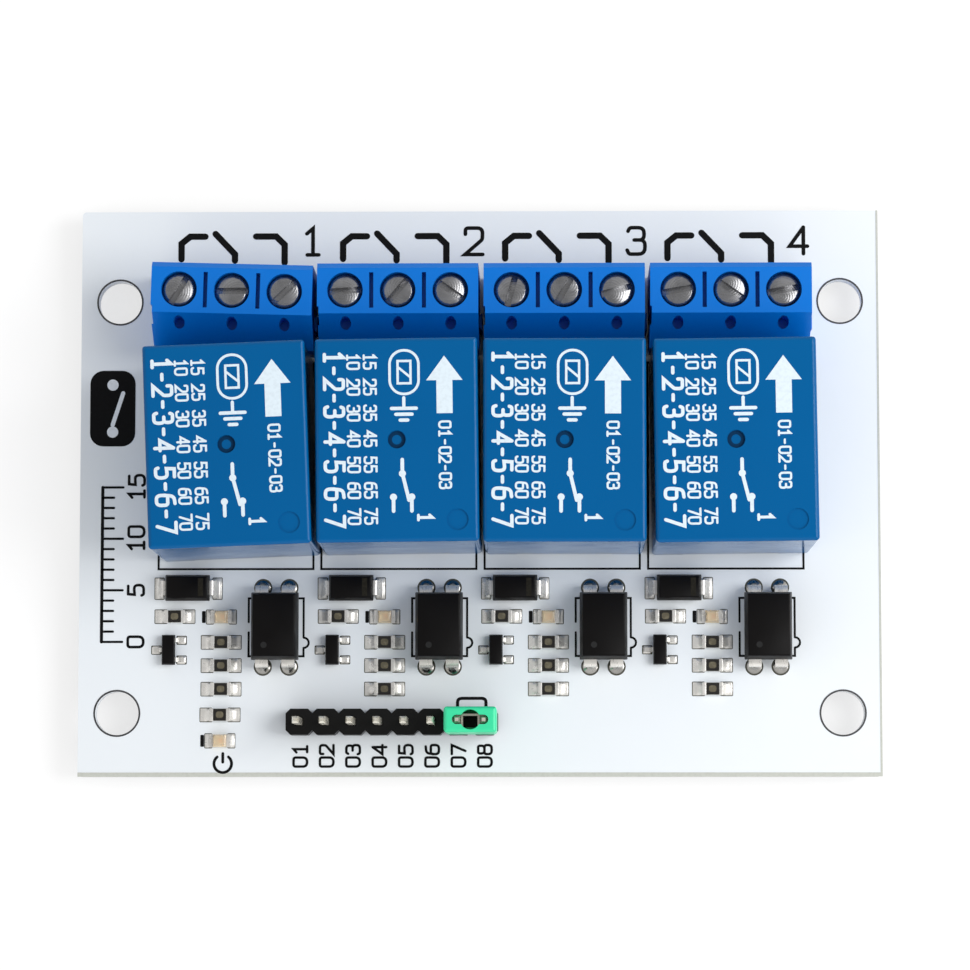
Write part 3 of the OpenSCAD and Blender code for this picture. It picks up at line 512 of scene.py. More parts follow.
    def build(self, name, finishes):
        """Makes the gathered forms an object of the scene."""
        bmesh.ops.recalc_face_normals(self.mesh, faces=self.mesh.faces)
        mesh = bpy.data.meshes.new(name)
        self.mesh.to_mesh(mesh)
        self.mesh.free()
        for finish in finishes:
            mesh.materials.append(finish)
        mesh.polygons.foreach_set("use_smooth", [True] * len(mesh.polygons))
        mesh.set_sharp_from_angle(angle=SHARP_ANGLE)
        made = bpy.data.objects.new(name, mesh)
        bpy.context.scene.collection.objects.link(made)
        return made

    def piece(self, name, finishes, body=BOARD_BODY, slot=None, stands_for=()):
        """Makes the gathered forms a piece that rides on a body."""
        made = self.build(name, finishes)
        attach(made, body)
        if stands_for:
            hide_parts(*stands_for)
        return made


# ---------------------------------------------------------------- finishes
class Nodes:
    """An emptied tree of shader nodes, and short ways to fill it."""

    def __init__(self, tree):
        self.tree = tree
        self.tree.nodes.clear()

    def node(self, kind, inputs=(), **settings):
        """Adds a node; inputs maps a socket's name or number to a value or to another node's output."""
        made = self.tree.nodes.new(f"ShaderNode{kind}")
        for key, value in settings.items():
            setattr(made, key, value)
        for key, value in dict(inputs).items():
            if isinstance(value, bpy.types.NodeSocket):
                self.tree.links.new(value, made.inputs[key])
            else:
                made.inputs[key].default_value = value
        return made

    def between(self, value, low, high, start=0.3, end=0.7):
        """Maps a value from start..end to low..high."""
        mapped = self.node(
            "MapRange", {"Value": value, "From Min": start, "From Max": end, "To Min": low, "To Max": high}
        )
        return mapped.outputs[0]

    def math(self, operation, first, second=0.0):
        """Result of a sum on two values."""
        return self.node("Math", {0: first, 1: second}, operation=operation).outputs[0]

    def pick(self, factor, first, second):
        """Number from first to second as factor goes from 0 to 1."""
        return self.node("Mix", {0: factor, 2: first, 3: second}, data_type="FLOAT").outputs[0]

    def close(self, shader, kind):
        """Joins a shader to the tree's output."""
        self.tree.links.new(shader.outputs[0], self.node(kind).inputs["Surface"])


class Finish(Nodes):
    """A procedural material made of shader nodes."""

    def __init__(self, name):
        self.material = bpy.data.materials.new(name)
        self.material.use_nodes = True
        super().__init__(self.material.node_tree)
        self.spot = self.node("TexCoord").outputs["Object"]

    def noise(self, size, detail=3.0, stretch=(1, 1, 1)):
        """Grain whose patches are about size metres across."""
        scaled = self.node("Mapping", {"Vector": self.spot, "Scale": stretch})
        grain = self.node(
            "TexNoise", {"Vector": scaled.outputs[0], "Scale": 1 / size, "Detail": detail, "Roughness": 0.55}
        )
        return grain.outputs["Fac"]

    def blend(self, factor, first, second):
        """Colour from first to second as factor goes from 0 to 1."""
        mixed = self.node("Mix", {"Factor": factor}, data_type="RGBA")
        for socket, value in ((mixed.inputs[6], first), (mixed.inputs[7], second)):
            if isinstance(value, bpy.types.NodeSocket):
                self.tree.links.new(value, socket)
            else:
                socket.default_value = (*value, 1.0)
        return mixed.outputs[2]

    def bump(self, height, depth, strength=0.5):
        """Normal for relief of a given depth in metres."""
        made = self.node("Bump", {"Height": height, "Distance": depth, "Strength": strength})
        return made.outputs["Normal"]

    def surface(self, colour, roughness, normal=None, **sockets):
        """Closes the material with one principled surface."""
        shader = self.node("BsdfPrincipled")
        for key, value in (("Base Color", colour), ("Roughness", roughness), ("Normal", normal)):
            if isinstance(value, bpy.types.NodeSocket):
                self.tree.links.new(value, shader.inputs[key])
            elif value is not None:
                shader.inputs[key].default_value = (*value, 1.0) if key == "Base Color" else value
        for key, value in sockets.items():
            shader.inputs[key.replace("_", " ")].default_value = value
        self.close(shader, "OutputMaterial")
        return self.material


def shade(colour, factor):
    """A colour made darker or lighter."""
    return tuple(min(1.0, c * factor) for c in colour)


def moulded(name, colour, roughness=0.35, grain=0.25 * MM, variation=0.06, specular=0.5, relief=0.012 * MM):
    """Moulded plastic: slight clouding, fine surface grain and a broken gloss."""
    finish = Finish(name)
    cloud = finish.noise(9 * MM, 2)
    tone = finish.blend(cloud, shade(colour, 1 - variation), shade(colour, 1 + variation))
    fine = finish.noise(grain, 4)
    dull = finish.between(finish.noise(2.5 * MM, 4), roughness * 0.85, roughness * 1.2)
    return finish.surface(tone, dull, finish.bump(fine, relief), **{"Specular IOR Level": specular})


def metal(name, colour, roughness=0.25, grain=(1, 1, 1), size=0.4 * MM, relief=0.01 * MM, tarnish=0.75,
          metallic=1.0):
    """Plated metal: fine drawn grain, slight tarnish and an uneven gloss."""
    finish = Finish(name)
    patches = finish.between(finish.noise(1.1 * MM, 5), 0, 1, 0.35, 0.75)
    tone = finish.blend(patches, colour, shade(colour, tarnish))
    drawn = finish.noise(size, 5, grain)
    dull = finish.between(drawn, roughness * 0.7, roughness * 1.5)
    return finish.surface(tone, dull, finish.bump(drawn, relief), Metallic=metallic)


def ink(name, colour):
    """Screen-printed ink: dull, with thin spots."""
    finish = Finish(name)
    thin = finish.between(finish.noise(0.35 * MM, 4), 0, 1, 0.45, 0.85)
    tone = finish.blend(thin, colour, shade(colour, 0.86) if max(colour) > 0.3 else shade(colour, 1.9))
    relief = finish.bump(finish.noise(0.12 * MM, 2), 0.006 * MM)
    return finish.surface(tone, 0.6, relief, **{"Specular IOR Level": 0.12})


def solder_finish(name, colour):
    """Solidified solder: bright, slightly rippled and frosted in patches."""
    finish = Finish(name)
    frost = finish.noise(0.7 * MM, 5)
    tone = finish.blend(finish.between(frost, 0, 1), colour, shade(colour, 0.82))
    dull = finish.between(frost, 0.2, 0.45)
    return finish.surface(tone, dull, finish.bump(finish.noise(0.3 * MM, 3), 0.03 * MM), Metallic=0.45)


def turned_metal(name, colour, spot):
    """Domed metal faced on a lathe: rings round the top of the dome, over fine scratches."""
    dome_radius = 5.5 * MM
    finish = Finish(name)
    moved = finish.node("Mapping", {"Vector": finish.spot, "Location": (-spot.x, -spot.y, 0.0)}).outputs[0]
    rings = finish.node(
        "TexWave",
        {"Vector": moved, "Scale": 1 / (0.75 * MM), "Distortion": 0.8, "Detail": 2.0},
        wave_type="RINGS",
        rings_direction="Z",
    ).outputs["Fac"]
    scratch = finish.noise(0.5 * MM, 5, (0.25, 1, 1))
    stain = finish.between(finish.noise(1.6 * MM, 4), 0, 1, 0.45, 0.8)
    tone = finish.blend(stain, colour, shade(colour, 0.62))
    dull = finish.between(scratch, 0.2, 0.36)
    flat = finish.node("VectorMath", {0: moved, 1: (1.0, 1.0, 0.0)}, operation="MULTIPLY").outputs[0]
    reach = finish.node("VectorMath", {0: flat}, operation="LENGTH").outputs["Value"]
    dome = finish.math("MULTIPLY", finish.math("POWER", reach, 2.0), -1 / (2 * dome_radius))
    ripple = finish.math("MULTIPLY", rings, 0.005 * MM)
    fine = finish.math("ADD", ripple, finish.math("MULTIPLY", scratch, 0.012 * MM))
    return finish.surface(tone, dull, finish.bump(finish.math("ADD", dome, fine), 1.0, 1.0), Metallic=0.9)


def board_finish(name, mask, laminate):
    """Solder mask on the faces and in the holes, and glass-fibre layers on the cut edges."""
    rim, skin = 0.05 * MM, 0.03 * MM
    finish = Finish(name)
    parts = finish.node("SeparateXYZ", {"Vector": finish.spot})
    reach_x = finish.math("SUBTRACT", BOARD_BOX[1].x - rim, finish.math("ABSOLUTE", parts.outputs["X"]))
    reach_y = finish.math("SUBTRACT", BOARD_BOX[1].y - rim, finish.math("ABSOLUTE", parts.outputs["Y"]))
    outer = finish.math("LESS_THAN", finish.math("MINIMUM", reach_x, reach_y), 0.0)
    inside = finish.math(
        "MULTIPLY",
        finish.math("LESS_THAN", parts.outputs["Z"], BOARD_TOP - skin),
        finish.math("GREATER_THAN", parts.outputs["Z"], BOARD_UNDER + skin),
    )
    cut = finish.math("MULTIPLY", outer, inside)
    layers = finish.noise(0.16 * MM, 3, (0.03, 0.03, 1))
    fibre = finish.blend(finish.between(layers, 0, 1), shade(laminate, 1.1), shade(laminate, 0.78))
    cloud = finish.noise(16 * MM, 2)
    white = finish.blend(cloud, shade(mask, 0.985), shade(mask, 1.015))
    tone = finish.blend(cut, white, fibre)
    dull = finish.between(finish.noise(1.4 * MM, 4), 0.3, 0.42)
    relief = finish.math("ADD", finish.noise(0.5 * MM, 3), finish.math("MULTIPLY", layers, cut))
    return finish.surface(tone, dull, finish.bump(relief, 0.008 * MM))


def coil_finish(name, copper, bobbin):
    """Enamelled copper wire in fine turns, and the pale bobbin above and below it."""
    edge = 0.02 * MM
    winding = min(solids("relay_coil_1"), key=lambda b: b[1].z - b[0].z)
    finish = Finish(name)
    turns = finish.node(
        "TexWave",
        {"Vector": finish.spot, "Scale": 1 / (0.9 * MM), "Distortion": 0.6, "Detail": 1.0},
        wave_type="BANDS",
        bands_direction="Z",
    ).outputs["Fac"]
    height = finish.node("SeparateXYZ", {"Vector": finish.spot}).outputs["Z"]
    above = finish.math("GREATER_THAN", height, winding[0].z + edge)
    wound = finish.math("MULTIPLY", above, finish.math("LESS_THAN", height, winding[1].z - edge))
    tone = finish.blend(turns, shade(copper, 0.6), shade(copper, 1.25))
    tone = finish.blend(wound, bobbin, tone)
    relief = finish.math("MULTIPLY", turns, wound)
    return finish.surface(tone, 0.3, finish.bump(relief, 0.08 * MM, 0.8), Coat_Weight=0.5)


def lens_finish(name, colour):
    """Clear, slightly clouded resin."""
    finish = Finish(name)
    cloud = finish.noise(0.5 * MM, 2)
    tone = finish.blend(cloud, shade(colour, 0.94), colour)
    return finish.surface(
        tone, 0.12, finish.bump(cloud, 0.01 * MM), **{"Transmission Weight": 0.55, "IOR": 1.5}
    )


def dress(node, *finishes):
    """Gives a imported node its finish."""
    mesh = frame["nodes"][node].data
    mesh.materials.clear()
    for finish in finishes:
        mesh.materials.append(finish)


# ---------------------------------------------------------------- operators
class RELAYBOARD_OT_circuit_board(bpy.types.Operator):
    """Dresses the board in white solder mask with bare cut edges."""

    bl_idname = "relay_board.circuit_board"
    bl_label = "Circuit board"

    def execute(self, context):
        look = context.scene.relay_board_look
        dress("circuit_board", board_finish("white_solder_mask", look.mask, look.laminate))
        return {"FINISHED"}


# Lines of a switch symbol: X from its terminal block's middle and Y from the board's, in millimetres.
SWITCH_SYMBOL = (
    ((-5.7, 22.85), (-5.7, 24.38), (-4.85, 25.07), (-3.38, 25.07)),
    ((-2.38, 25.33), (-0.48, 23.32), (-0.48, 22.7)),
    ((1.58, 25.07), (3.54, 25.07), (4.37, 24.26), (4.37, 22.5)),
)


class RELAYBOARD_OT_board_print(bpy.types.Operator):
    """Prints the switch symbols, numerals and part outlines on the board."""

    bl_idname = "relay_board.board_print"
    bl_label = "Board print"

    numeral_side: length("Numeral side", "Distance from a terminal's middle to its numeral", 7.05)
    numeral_back: length("Numeral back", "Distance from the board's middle to the numerals", 24.55)

    def execute(self, context):
        look = context.scene.relay_board_look
        shape = Shape()
        numeral_stroke = 0.36 * MM
        for channel in CHANNELS:
            x = terminal_middle(channel)
            shape.at(x, 0, BOARD_TOP)
            for line in SWITCH_SYMBOL:
                drawn = [(a * MM, b * MM) for a, b in line]
                shape.stroke(drawn, look.symbol_stroke, 0, look.ink_height)
            shape.at(x + self.numeral_side, self.numeral_back, BOARD_TOP)
            shape.numerals(str(channel), look.numeral_height, numeral_stroke, 0, look.ink_height)
        self.relay_outlines(shape, look)
        self.small_part_outlines(shape, look)
        self.header_marks(shape, look)
        self.power_mark(shape, look)
        self.left_strip(shape, look)
        self.bare_edges(shape, look)
        black = ink("board_ink", look.ink)
        white = ink("clear_window_ink", look.mask)
        # Laminate colour on the front and right edge strips only: painted shade of the board's edge.
        bare = ink("painted_edge_shade", look.laminate)
        shape.piece("board_print", [black, white, bare], slot="circuit_board")
        return {"FINISHED"}

    @staticmethod
    def relay_outlines(shape, look):
        """A box under each relay, of which the front shows."""
        front, back, half, shift = -7.46 * MM, 12.6 * MM, 7.5 * MM, 0.2 * MM
        for channel in CHANNELS:
            shape.at(terminal_middle(channel) - shift, 0, BOARD_TOP)
            corners = [(-half, front), (half, front), (half, back), (-half, back)]
            shape.stroke(corners, look.line_stroke, 0, look.ink_height, loop=True)

    @staticmethod
    def small_part_outlines(shape, look):
        """Outline round each optocoupler and a bar beside each light."""
        line, top = look.line_stroke, look.ink_height
        half, reach, lip = 2.66 * MM, 2.8 * MM, 0.7 * MM
        notch, mark = 0.5 * MM, 1.5 * MM
        for _, spot, _, _ in parts_of("optocouplers"):
            shape.at(spot.x, spot.y, BOARD_TOP)
            for side in (-1, 1):
                bracket = [(lip - half, side * reach), (-half, side * reach), (-half, side * notch)]
                shape.stroke(bracket, line, 0, top)
            shape.stroke([(half - lip, reach), (half, reach), (half, notch - mark)], line, 0, top)
            shape.stroke(arc(half, -mark, notch, 90, -90), line, 0, top)
            shape.stroke([(half, -mark - notch), (half, -reach), (half - lip, -reach)], line, 0, top)
        bar = rounded_rectangle(0.36 * MM, 1.15 * MM, 0.08 * MM, 2)
        bar_gap = 0.7 * MM
        for _, spot, low, _ in parts_of("indicator_lights"):
            shape.at(low.x - bar_gap, spot.y, BOARD_TOP)
            shape.prism(bar, 0, top)

    @staticmethod
    def header_marks(shape, look):
        """Pin numbers in front of the header, and an arch that joins the jumper's two pins."""
        number_gap, number_height, number_stroke = 3.2 * MM, 1.3 * MM, 0.24 * MM
        pins = [middle(b) for b in solids("header_pins")]
        for number, pin in enumerate(pins, 1):
            shape.at(pin.x, pin.y - number_gap, BOARD_TOP, turn=90)
            shape.numerals(f"0{number}", number_height, number_stroke, 0, look.ink_height)
        arch_side, arch_rise, arch_bend, arch_stroke = 0.1 * MM, 1.1 * MM, 0.4 * MM, 0.3 * MM
        left, right = pins[-2].x - arch_side, pins[-1].x + arch_side
        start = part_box("jumper_shell")[1].y
        crown = start + arch_rise
        arch = [(left, start), (left, crown, arch_bend), (right, crown, arch_bend), (right, start)]
        shape.at(0, 0, BOARD_TOP)
        shape.stroke(soft_path(arch, 0), arch_stroke, 0, look.ink_height)

    @staticmethod
    def power_mark(shape, look):
        """The usual sign for power under the power light."""
        aside, below, radius, stroke = 0.3 * MM, 2.2 * MM, 0.85 * MM, 0.27 * MM
        lamp = min((middle(b) for b in solids("indicator_lights")), key=lambda m: m.y)
        shape.at(lamp.x + aside, lamp.y - below, BOARD_TOP)
        shape.stroke(arc(0, 0, radius, 130, 410, 20), stroke, 0, look.ink_height)
        shape.stroke([(0, 0.15 * MM), (0, radius * 1.15)], stroke, 0, look.ink_height)

    def left_strip(self, shape, look):
        """A plain switch sign in a black panel, and a millimetre scale below it."""
        edge = BOARD_BOX[0].x
        panel_x, panel_y = edge + 3.1 * MM, 8.2 * MM
        scale_x, scale_start, scale_count = edge + 2.2 * MM, -14.5 * MM, 15
        end_reach, end_radius, arm_stroke = 2.3 * MM, 0.55 * MM, 0.4 * MM
        low = look.ink_height
        high = low + 0.004 * MM
        shape.at(panel_x, panel_y, BOARD_TOP)
        shape.prism(rounded_rectangle(4.4 * MM, 7.4 * MM, 1.3 * MM, 6), 0, low)
        shape.finish = 1
        for end in (-end_reach, end_reach):
            shape.prism(circle(0, end, end_radius, 24), low, high)
        shape.stroke([(0, -1.6 * MM), (1.0 * MM, 1.5 * MM)], arm_stroke, low, high)
        shape.finish = 0
        self.scale(shape, scale_x, scale_start, scale_count, look)

    @staticmethod
    def scale(shape, x, start, count, look):
        """A printed millimetre scale with a longer line and a plain number at each fifth step."""
        spine_stroke, step_stroke, reach, long_reach = 0.3 * MM, 0.22 * MM, 1.1 * MM, 2.0 * MM
        number_gap, number_height, number_stroke = 3.3 * MM, 1.5 * MM, 0.26 * MM
        shape.at(x, start, BOARD_TOP)
        shape.stroke([(0, 0), (0, count * MM)], spine_stroke, 0, look.ink_height)
        for step in range(count + 1):
            numbered = step % 5 == 0
            y = step * MM
            shape.at(x, start, BOARD_TOP)
            shape.stroke([(0, y), (long_reach if numbered else reach, y)], step_stroke, 0, look.ink_height)
            if numbered:
                shape.at(x + number_gap, start + y, BOARD_TOP, turn=90)
                shape.numerals(str(step), number_height, number_stroke, 0, look.ink_height)

    @staticmethod
    def bare_edges(shape, look):
        """Laminate-coloured strips along the front and right edges only: painted shade that stands in for the
        board's edge face and the shadow under it.
        """
        low, high = BOARD_BOX
        inner, step = low.y + look.bare_edge, high.x - look.bare_edge / 2
        shape.at(0, 0, BOARD_TOP)
        shape.finish = 2
        shape.prism([(low.x, low.y), (high.x, low.y), (high.x, inner), (low.x, inner)], 0, look.ink_height)
        shape.prism([(step, inner), (high.x, inner), (high.x, high.y), (step, high.y)], 0, look.ink_height)
        shape.finish = 0


# Points down the side of a solder joint: share of its spread and share of its drop.
JOINT_PROFILE = ((0.5, 0.3), (0.22, 0.62), (0.08, 0.9))
# Points up the solder round an optocoupler's lead: share of the pad's radius, height in pad heights.
WICK_PROFILE = ((1.0, 0.6), (0.92, 1.2), (0.62, 3.4), (0.4, 8))
# Joints of the parts that lie along X: how far the pad reaches out, its width and the fillet's climb.
END_JOINTS = {
    "resistors": (0.9 * MM, 1.25 * MM, 0.4 * MM),
    "indicator_lights": (0.42 * MM, 1.3 * MM, 0.26 * MM),
    "diodes": (0.62 * MM, 2.0 * MM, 0.7 * MM),
}


class RELAYBOARD_OT_solder(bpy.types.Operator):
    """Adds the tinned pads, the solder joints on both sides and the rings round the mounting holes."""

    bl_idname = "relay_board.solder"
    bl_label = "Solder and pads"

    joint_spread: length("Joint spread", "How far a solder joint reaches past its lead", 0.62)
    joint_share: share("Joint height", "How much of a lead's tail its solder covers", 0.72)

    def execute(self, context):
        look = context.scene.relay_board_look
        tin = solder_finish("bright_solder", look.solder)
        self.underside(look, tin)
        self.upper_side(look, tin)
        self.hole_rings(look)
        return {"FINISHED"}

    def underside(self, look, tin):
        """A pad and a hollow-sided cone round each lead under the board."""
        shape = Shape()
        for node in ("relay_contacts", "terminal_pins", "optocouplers", "header_pins"):
            for spot, low, high in feet(node):
                wide = max(high.x - low.x, high.y - low.y) / 2
                pad = wide + self.joint_spread
                drop = (BOARD_UNDER - low.z) * self.joint_share
                profile = [(pad, 0), (pad, -look.pad_height), (pad * 0.94, -look.pad_height * 1.6)]
                profile += [(wide + self.joint_spread * out, -drop * down) for out, down in JOINT_PROFILE]
                profile.append((wide * 0.6, -drop))
                shape.at(spot.x, spot.y, BOARD_UNDER)
                shape.turned(profile)
        shape.piece("solder_joints_under", [tin], slot="terminal_pins")

    def upper_side(self, look, tin):
        """Pads and fillets of the surface-mounted parts, and the optocouplers' pads."""
        def low_heap(u, v):
            return look.pad_height * 2.4 * self.dome(u, v)

        shape = Shape()
        for node, (out, width, climb) in END_JOINTS.items():
            for _, spot, low, high in parts_of(node):
                for side, end in ((-1, low.x), (1, high.x)):
                    self.end_joint(shape, side, end, spot.y, out, width, climb, look)
        foot_x, foot_y, pad_length, pad_width = 1.22 * MM, 0.95 * MM, 0.85 * MM, 0.72 * MM
        for _, spot, _, _ in parts_of("transistors"):
            for x, y in ((1, 1), (1, -1), (-1, 0)):
                shape.at(spot.x + x * foot_x, spot.y + y * foot_y, BOARD_TOP)
                self.pad(shape, pad_length, pad_width, low_heap, look)
        radius, tip, rise = 0.72 * MM, 0.2 * MM, look.pad_height
        wick = [(radius, -SINK)] + [(radius * r, rise * h) for r, h in WICK_PROFILE] + [(tip, rise * 10)]
        for spot, _, _ in feet("optocouplers"):
            shape.at(spot.x, spot.y, BOARD_TOP)
            shape.finish = 2
            shape.turned(wick)
            self.surround(shape, circle(0, 0, radius + 2 * look.clearance_width), look)
        # Bare laminate round the pads, darkened as painted shade.
        surround = moulded("pad_gap_and_painted_shade", look.clearance, 0.6, specular=0.2)
        # Solder round the optocoupler leads in a darker copy of the solder colour: painted shade beside the
        # bodies.
        shaded_wick = metal("shaded_wick_solder", shade(look.solder, 0.5), 0.22, relief=0.02 * MM)
        shape.piece("solder_joints_top", [tin, surround, shaded_wick], slot="terminal_pins")

    @staticmethod
    def dome(u, v):
        """Height share of a low heap of solder."""
        return max(0.0, (1 - (2 * u - 1) ** 4) * (1 - (2 * v - 1) ** 4)) ** 0.5

    @staticmethod
    def surround(shape, outline, look):
        """Dark ring round a pad, lower than the print: bare laminate, darkened as painted shade at the pad's edge.
        """
        shape.finish = 1
        shape.prism(outline, 0, 0.3 * look.ink_height)
        shape.finish = 0

    def pad(self, shape, length_x, length_y, rise, look, columns=8, rows=6):
        """A heap of solder on a pad, with a dark ring of bare laminate and painted shade round it."""
        shape.mound(length_x, length_y, rise, 0, columns, rows)
        wide = 2 * look.clearance_width
        self.surround(shape, rounded_rectangle(length_x + wide, length_y + wide, 0.1 * MM, 2), look)

    def end_joint(self, shape, side, end, y, out, width, climb, look):
        """Pad and sloping fillet at one end of a part that lies along X."""
        under = 0.2 * MM
        reach = out + under

        def rise(u, v):
            slope = max(0.0, 1 - max(0.0, u * reach - under) / (out * 0.8)) ** 2
            heap = look.pad_height * (0.25 + 0.75 * self.dome(u, v))
            return heap + climb * slope * (1 - (2 * v - 1) ** 6)

        shape.at(end + side * (reach / 2 - under), y, BOARD_TOP, turn=0 if side > 0 else 180)
        self.pad(shape, reach, width, rise, look, columns=12, rows=8)

    def hole_rings(self, look):
        """Dark rings round the four mounting holes: thin on top, wider under the board. The thin top ring is
        partly painted shade of the holes' walls.
        """
        top_width, under_width = 0.17 * MM, 0.6 * MM
        ring_finish = metal("dark_hole_ring_and_shade", look.ring, 0.45)
        mount = next(m for m in frame["record"]["mounts"] if m["kind"] == "bolt_pattern")
        size = mount["dims"]
        inner = size["hole_r_mm"] * MM
        shape = Shape()
        for x in (-1, 1):
            for y in (-1, 1):
                spot_x = mount["pos_m"][0] + x * size["spacing_x_mm"] * MM / 2
                spot_y = mount["pos_m"][1] + y * size["spacing_y_mm"] * MM / 2
                shape.at(spot_x, spot_y, 0)
                shape.ring(inner, inner + top_width, BOARD_TOP, BOARD_TOP + look.ink_height)
                shape.ring(inner, inner + under_width, BOARD_UNDER - look.ink_height, BOARD_UNDER)
        shape.piece("mounting_hole_rings", [ring_finish], slot="circuit_board")


# Numbers on a relay: place in millimetres from its middle, text, height, stroke and squeeze.
RELAY_ROWS = (
    (-5.8, 0.1, "1-2-3-4-5-6-7", 1.75, 0.32, 0.8),
    (-4.0, 0.1, "10 20 30 40 50 60 70", 1.1, 0.2, 0.8),
    (-2.45, 0.1, "15 25 35 45 55 65 75", 1.1, 0.2, 0.8),
)
RELAY_CODES = (
    (4.5, -1.5, "01-02-03", 1.05, 0.2, 0.84),
    (2.6, -7.3, "1", 1.3, 0.26, 0.8),
)


class RELAYBOARD_OT_relay_cases(bpy.types.Operator):
    """Dresses the relay cases in glossy blue and prints generic signs on their tops."""

    bl_idname = "relay_board.relay_cases"
    bl_label = "Relay cases"

    def execute(self, context):
        look = context.scene.relay_case_look
        case = moulded("blue_relay_case", look.case, 0.16, 0.3 * MM, 0.05, 0.14, 0.004 * MM)
        white = ink("white_case_ink", look.ink)
        dimple_shade = moulded("painted_dimple_shade", shade(look.case, 0.3), 0.6, specular=0.1)
        high = context.scene.relay_board_look.ink_height
        for channel in CHANNELS:
            dress(f"relay_cover_{channel}", case)
            place = relay_place(channel)
            shape = Shape()
            self.draw_print(shape, place, high)
            # A dark ring at the bottom of each gate dimple: painted shade of the dimple's wall.
            shape.finish = 1
            shape.at(z=-GATE_DEPTH, base=place).ring(*GATE_SHADE_RING, 0, high)
            shape.piece(f"relay_print_{channel}", [white, dimple_shade], slot="relay_cover")
        return {"FINISHED"}

    def draw_print(self, shape, place, high):
        """Plain numbers and circuit signs, read from the relay's right side."""
        def spot(x, y):
            return shape.at(x * MM, y * MM, 0, -90, place)

        def rows(table):
            for x, y, text, height, stroke, narrow in table:
                spot(x, y).numerals(text, height * MM, stroke * MM, 0, high, narrow)

        rows(RELAY_ROWS)
        self.coil_sign(spot(0.75, 6.3), high)
        self.earth_sign(spot(0.7, 2.9), high)
        self.changeover_sign(spot(0.5, -4.3), high)
        self.arrow_sign(spot(4.5, 5.1), high)
        rows(RELAY_CODES)

    @staticmethod
    def coil_sign(shape, high):
        """An oval with a coil's box and diagonal in it."""
        oval_line, line, half, rise, lean = 0.24 * MM, 0.22 * MM, 1.05 * MM, 0.6 * MM, 0.5 * MM
        shape.stroke(rounded_rectangle(4.1 * MM, 2.7 * MM, 1.3 * MM, 8), oval_line, 0, high, loop=True)
        shape.stroke([(-half, -rise), (half, -rise), (half, rise), (-half, rise)], line, 0, high, loop=True)
        shape.stroke([(-lean, -rise), (lean, rise)], line, 0, high)

    @staticmethod
    def earth_sign(shape, high):
        """The usual earth sign: a stem and three shorter and shorter bars."""
        stem, bar, gap = 0.3 * MM, 0.32 * MM, 0.55 * MM
        shape.stroke([(-1.0 * MM, 0), (-0.1 * MM, 0)], stem, 0, high)
        for step, reach in enumerate((1.15 * MM, 0.75 * MM, 0.35 * MM)):
            shape.stroke([(step * gap, -reach), (step * gap, reach)], bar, 0, high)

    @staticmethod
    def changeover_sign(shape, high):
        """A changeover contact with its three ends."""
        wide, end, arm, half, dot = 0.34 * MM, 2.4 * MM, 1.1 * MM, 0.85 * MM, 0.33 * MM
        blade_tip = (arm + 0.3 * MM, half - 0.25 * MM)
        shape.stroke([(-end, 0), (-arm, 0)], wide, 0, high)
        shape.stroke([(-arm, 0), blade_tip], wide, 0, high)
        for side in (-1, 1):
            shape.stroke([(end, side * half), (arm, side * half)], wide, 0, high)
        for x, y in ((-arm, 0), (arm, half), (arm, -half)):
            shape.prism(circle(x, y, dot, 20), 0, high + 6 * LAYER)

    @staticmethod
    def arrow_sign(shape, high):
        """A bold arrow that points to the contacts' end."""
        tip, neck, barb, half = 2.7 * MM, 0.4 * MM, 1.7 * MM, 0.75 * MM
        upper = [(-neck, barb), (-neck, half), (tip, half)]
        lower = [(x, -y) for x, y in reversed(upper)]
        shape.prism([(-tip, 0)] + upper + lower, 0, high)


class RELAYBOARD_OT_relay_mechanisms(bpy.types.Operator):
    """Dresses the relays' base plates, coils, yokes, armatures and contacts."""

    bl_idname = "relay_board.relay_mechanisms"
    bl_label = "Relay mechanisms"

    def execute(self, context):
        look = context.scene.relay_case_look
        base = moulded("dark_blue_base", shade(look.case, 0.35), 0.5, specular=0.3)
        winding = coil_finish("copper_winding", look.winding, look.bobbin)
        iron = metal("plated_iron", look.iron, 0.32, (1, 1, 0.2))
        spring = metal("bright_armature", shade(look.iron, 1.1), 0.25, (1, 0.15, 1))
        contact = metal("contact_metal", look.contact, 0.3, (1, 1, 0.2))
        for channel in CHANNELS:
            dress(f"relay_base_{channel}", base)
            dress(f"relay_coil_{channel}", winding)
            dress(f"relay_yoke_{channel}", iron)
            dress(f"relay_armature_{channel}", spring)
        dress("relay_contacts", contact)
        return {"FINISHED"}


# Degrees from one screw to the next by which the dome of its head is turned.
DOME_TURN = 137


class RELAYBOARD_OT_screw_terminals(bpy.types.Operator):
    """Dresses the terminal housings, screws, clamps and contact bars."""

    bl_idname = "relay_board.screw_terminals"
    bl_label = "Screw terminals"

    def execute(self, context):
        look = context.scene.relay_terminal_look
        housing = moulded("bright_blue_housing", look.housing, 0.34, 0.2 * MM, 0.06, 0.25)
        clamp = metal("plated_clamp", look.clamp, 0.32, (1, 0.3, 1))
        pin = metal("tinned_bar", context.scene.relay_board_look.solder, 0.3, (1, 1, 0.2))
        for channel in CHANNELS:
            dress(f"terminal_housing_{channel}", housing)
            for pole in POLES:
                screw = f"terminal_screw_{channel}_{pole}"
                turn = math.radians(DOME_TURN * (len(POLES) * channel + pole))
                askew = Matrix.Rotation(turn, 3, "Z") @ Vector((look.askew, 0, 0))
                dress(screw, turned_metal(f"turned_{screw}", look.screw, middle(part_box(screw)) + askew))
                dress(f"wire_clamp_{channel}_{pole}", clamp)
        dress("terminal_pins", pin)
        return {"FINISHED"}


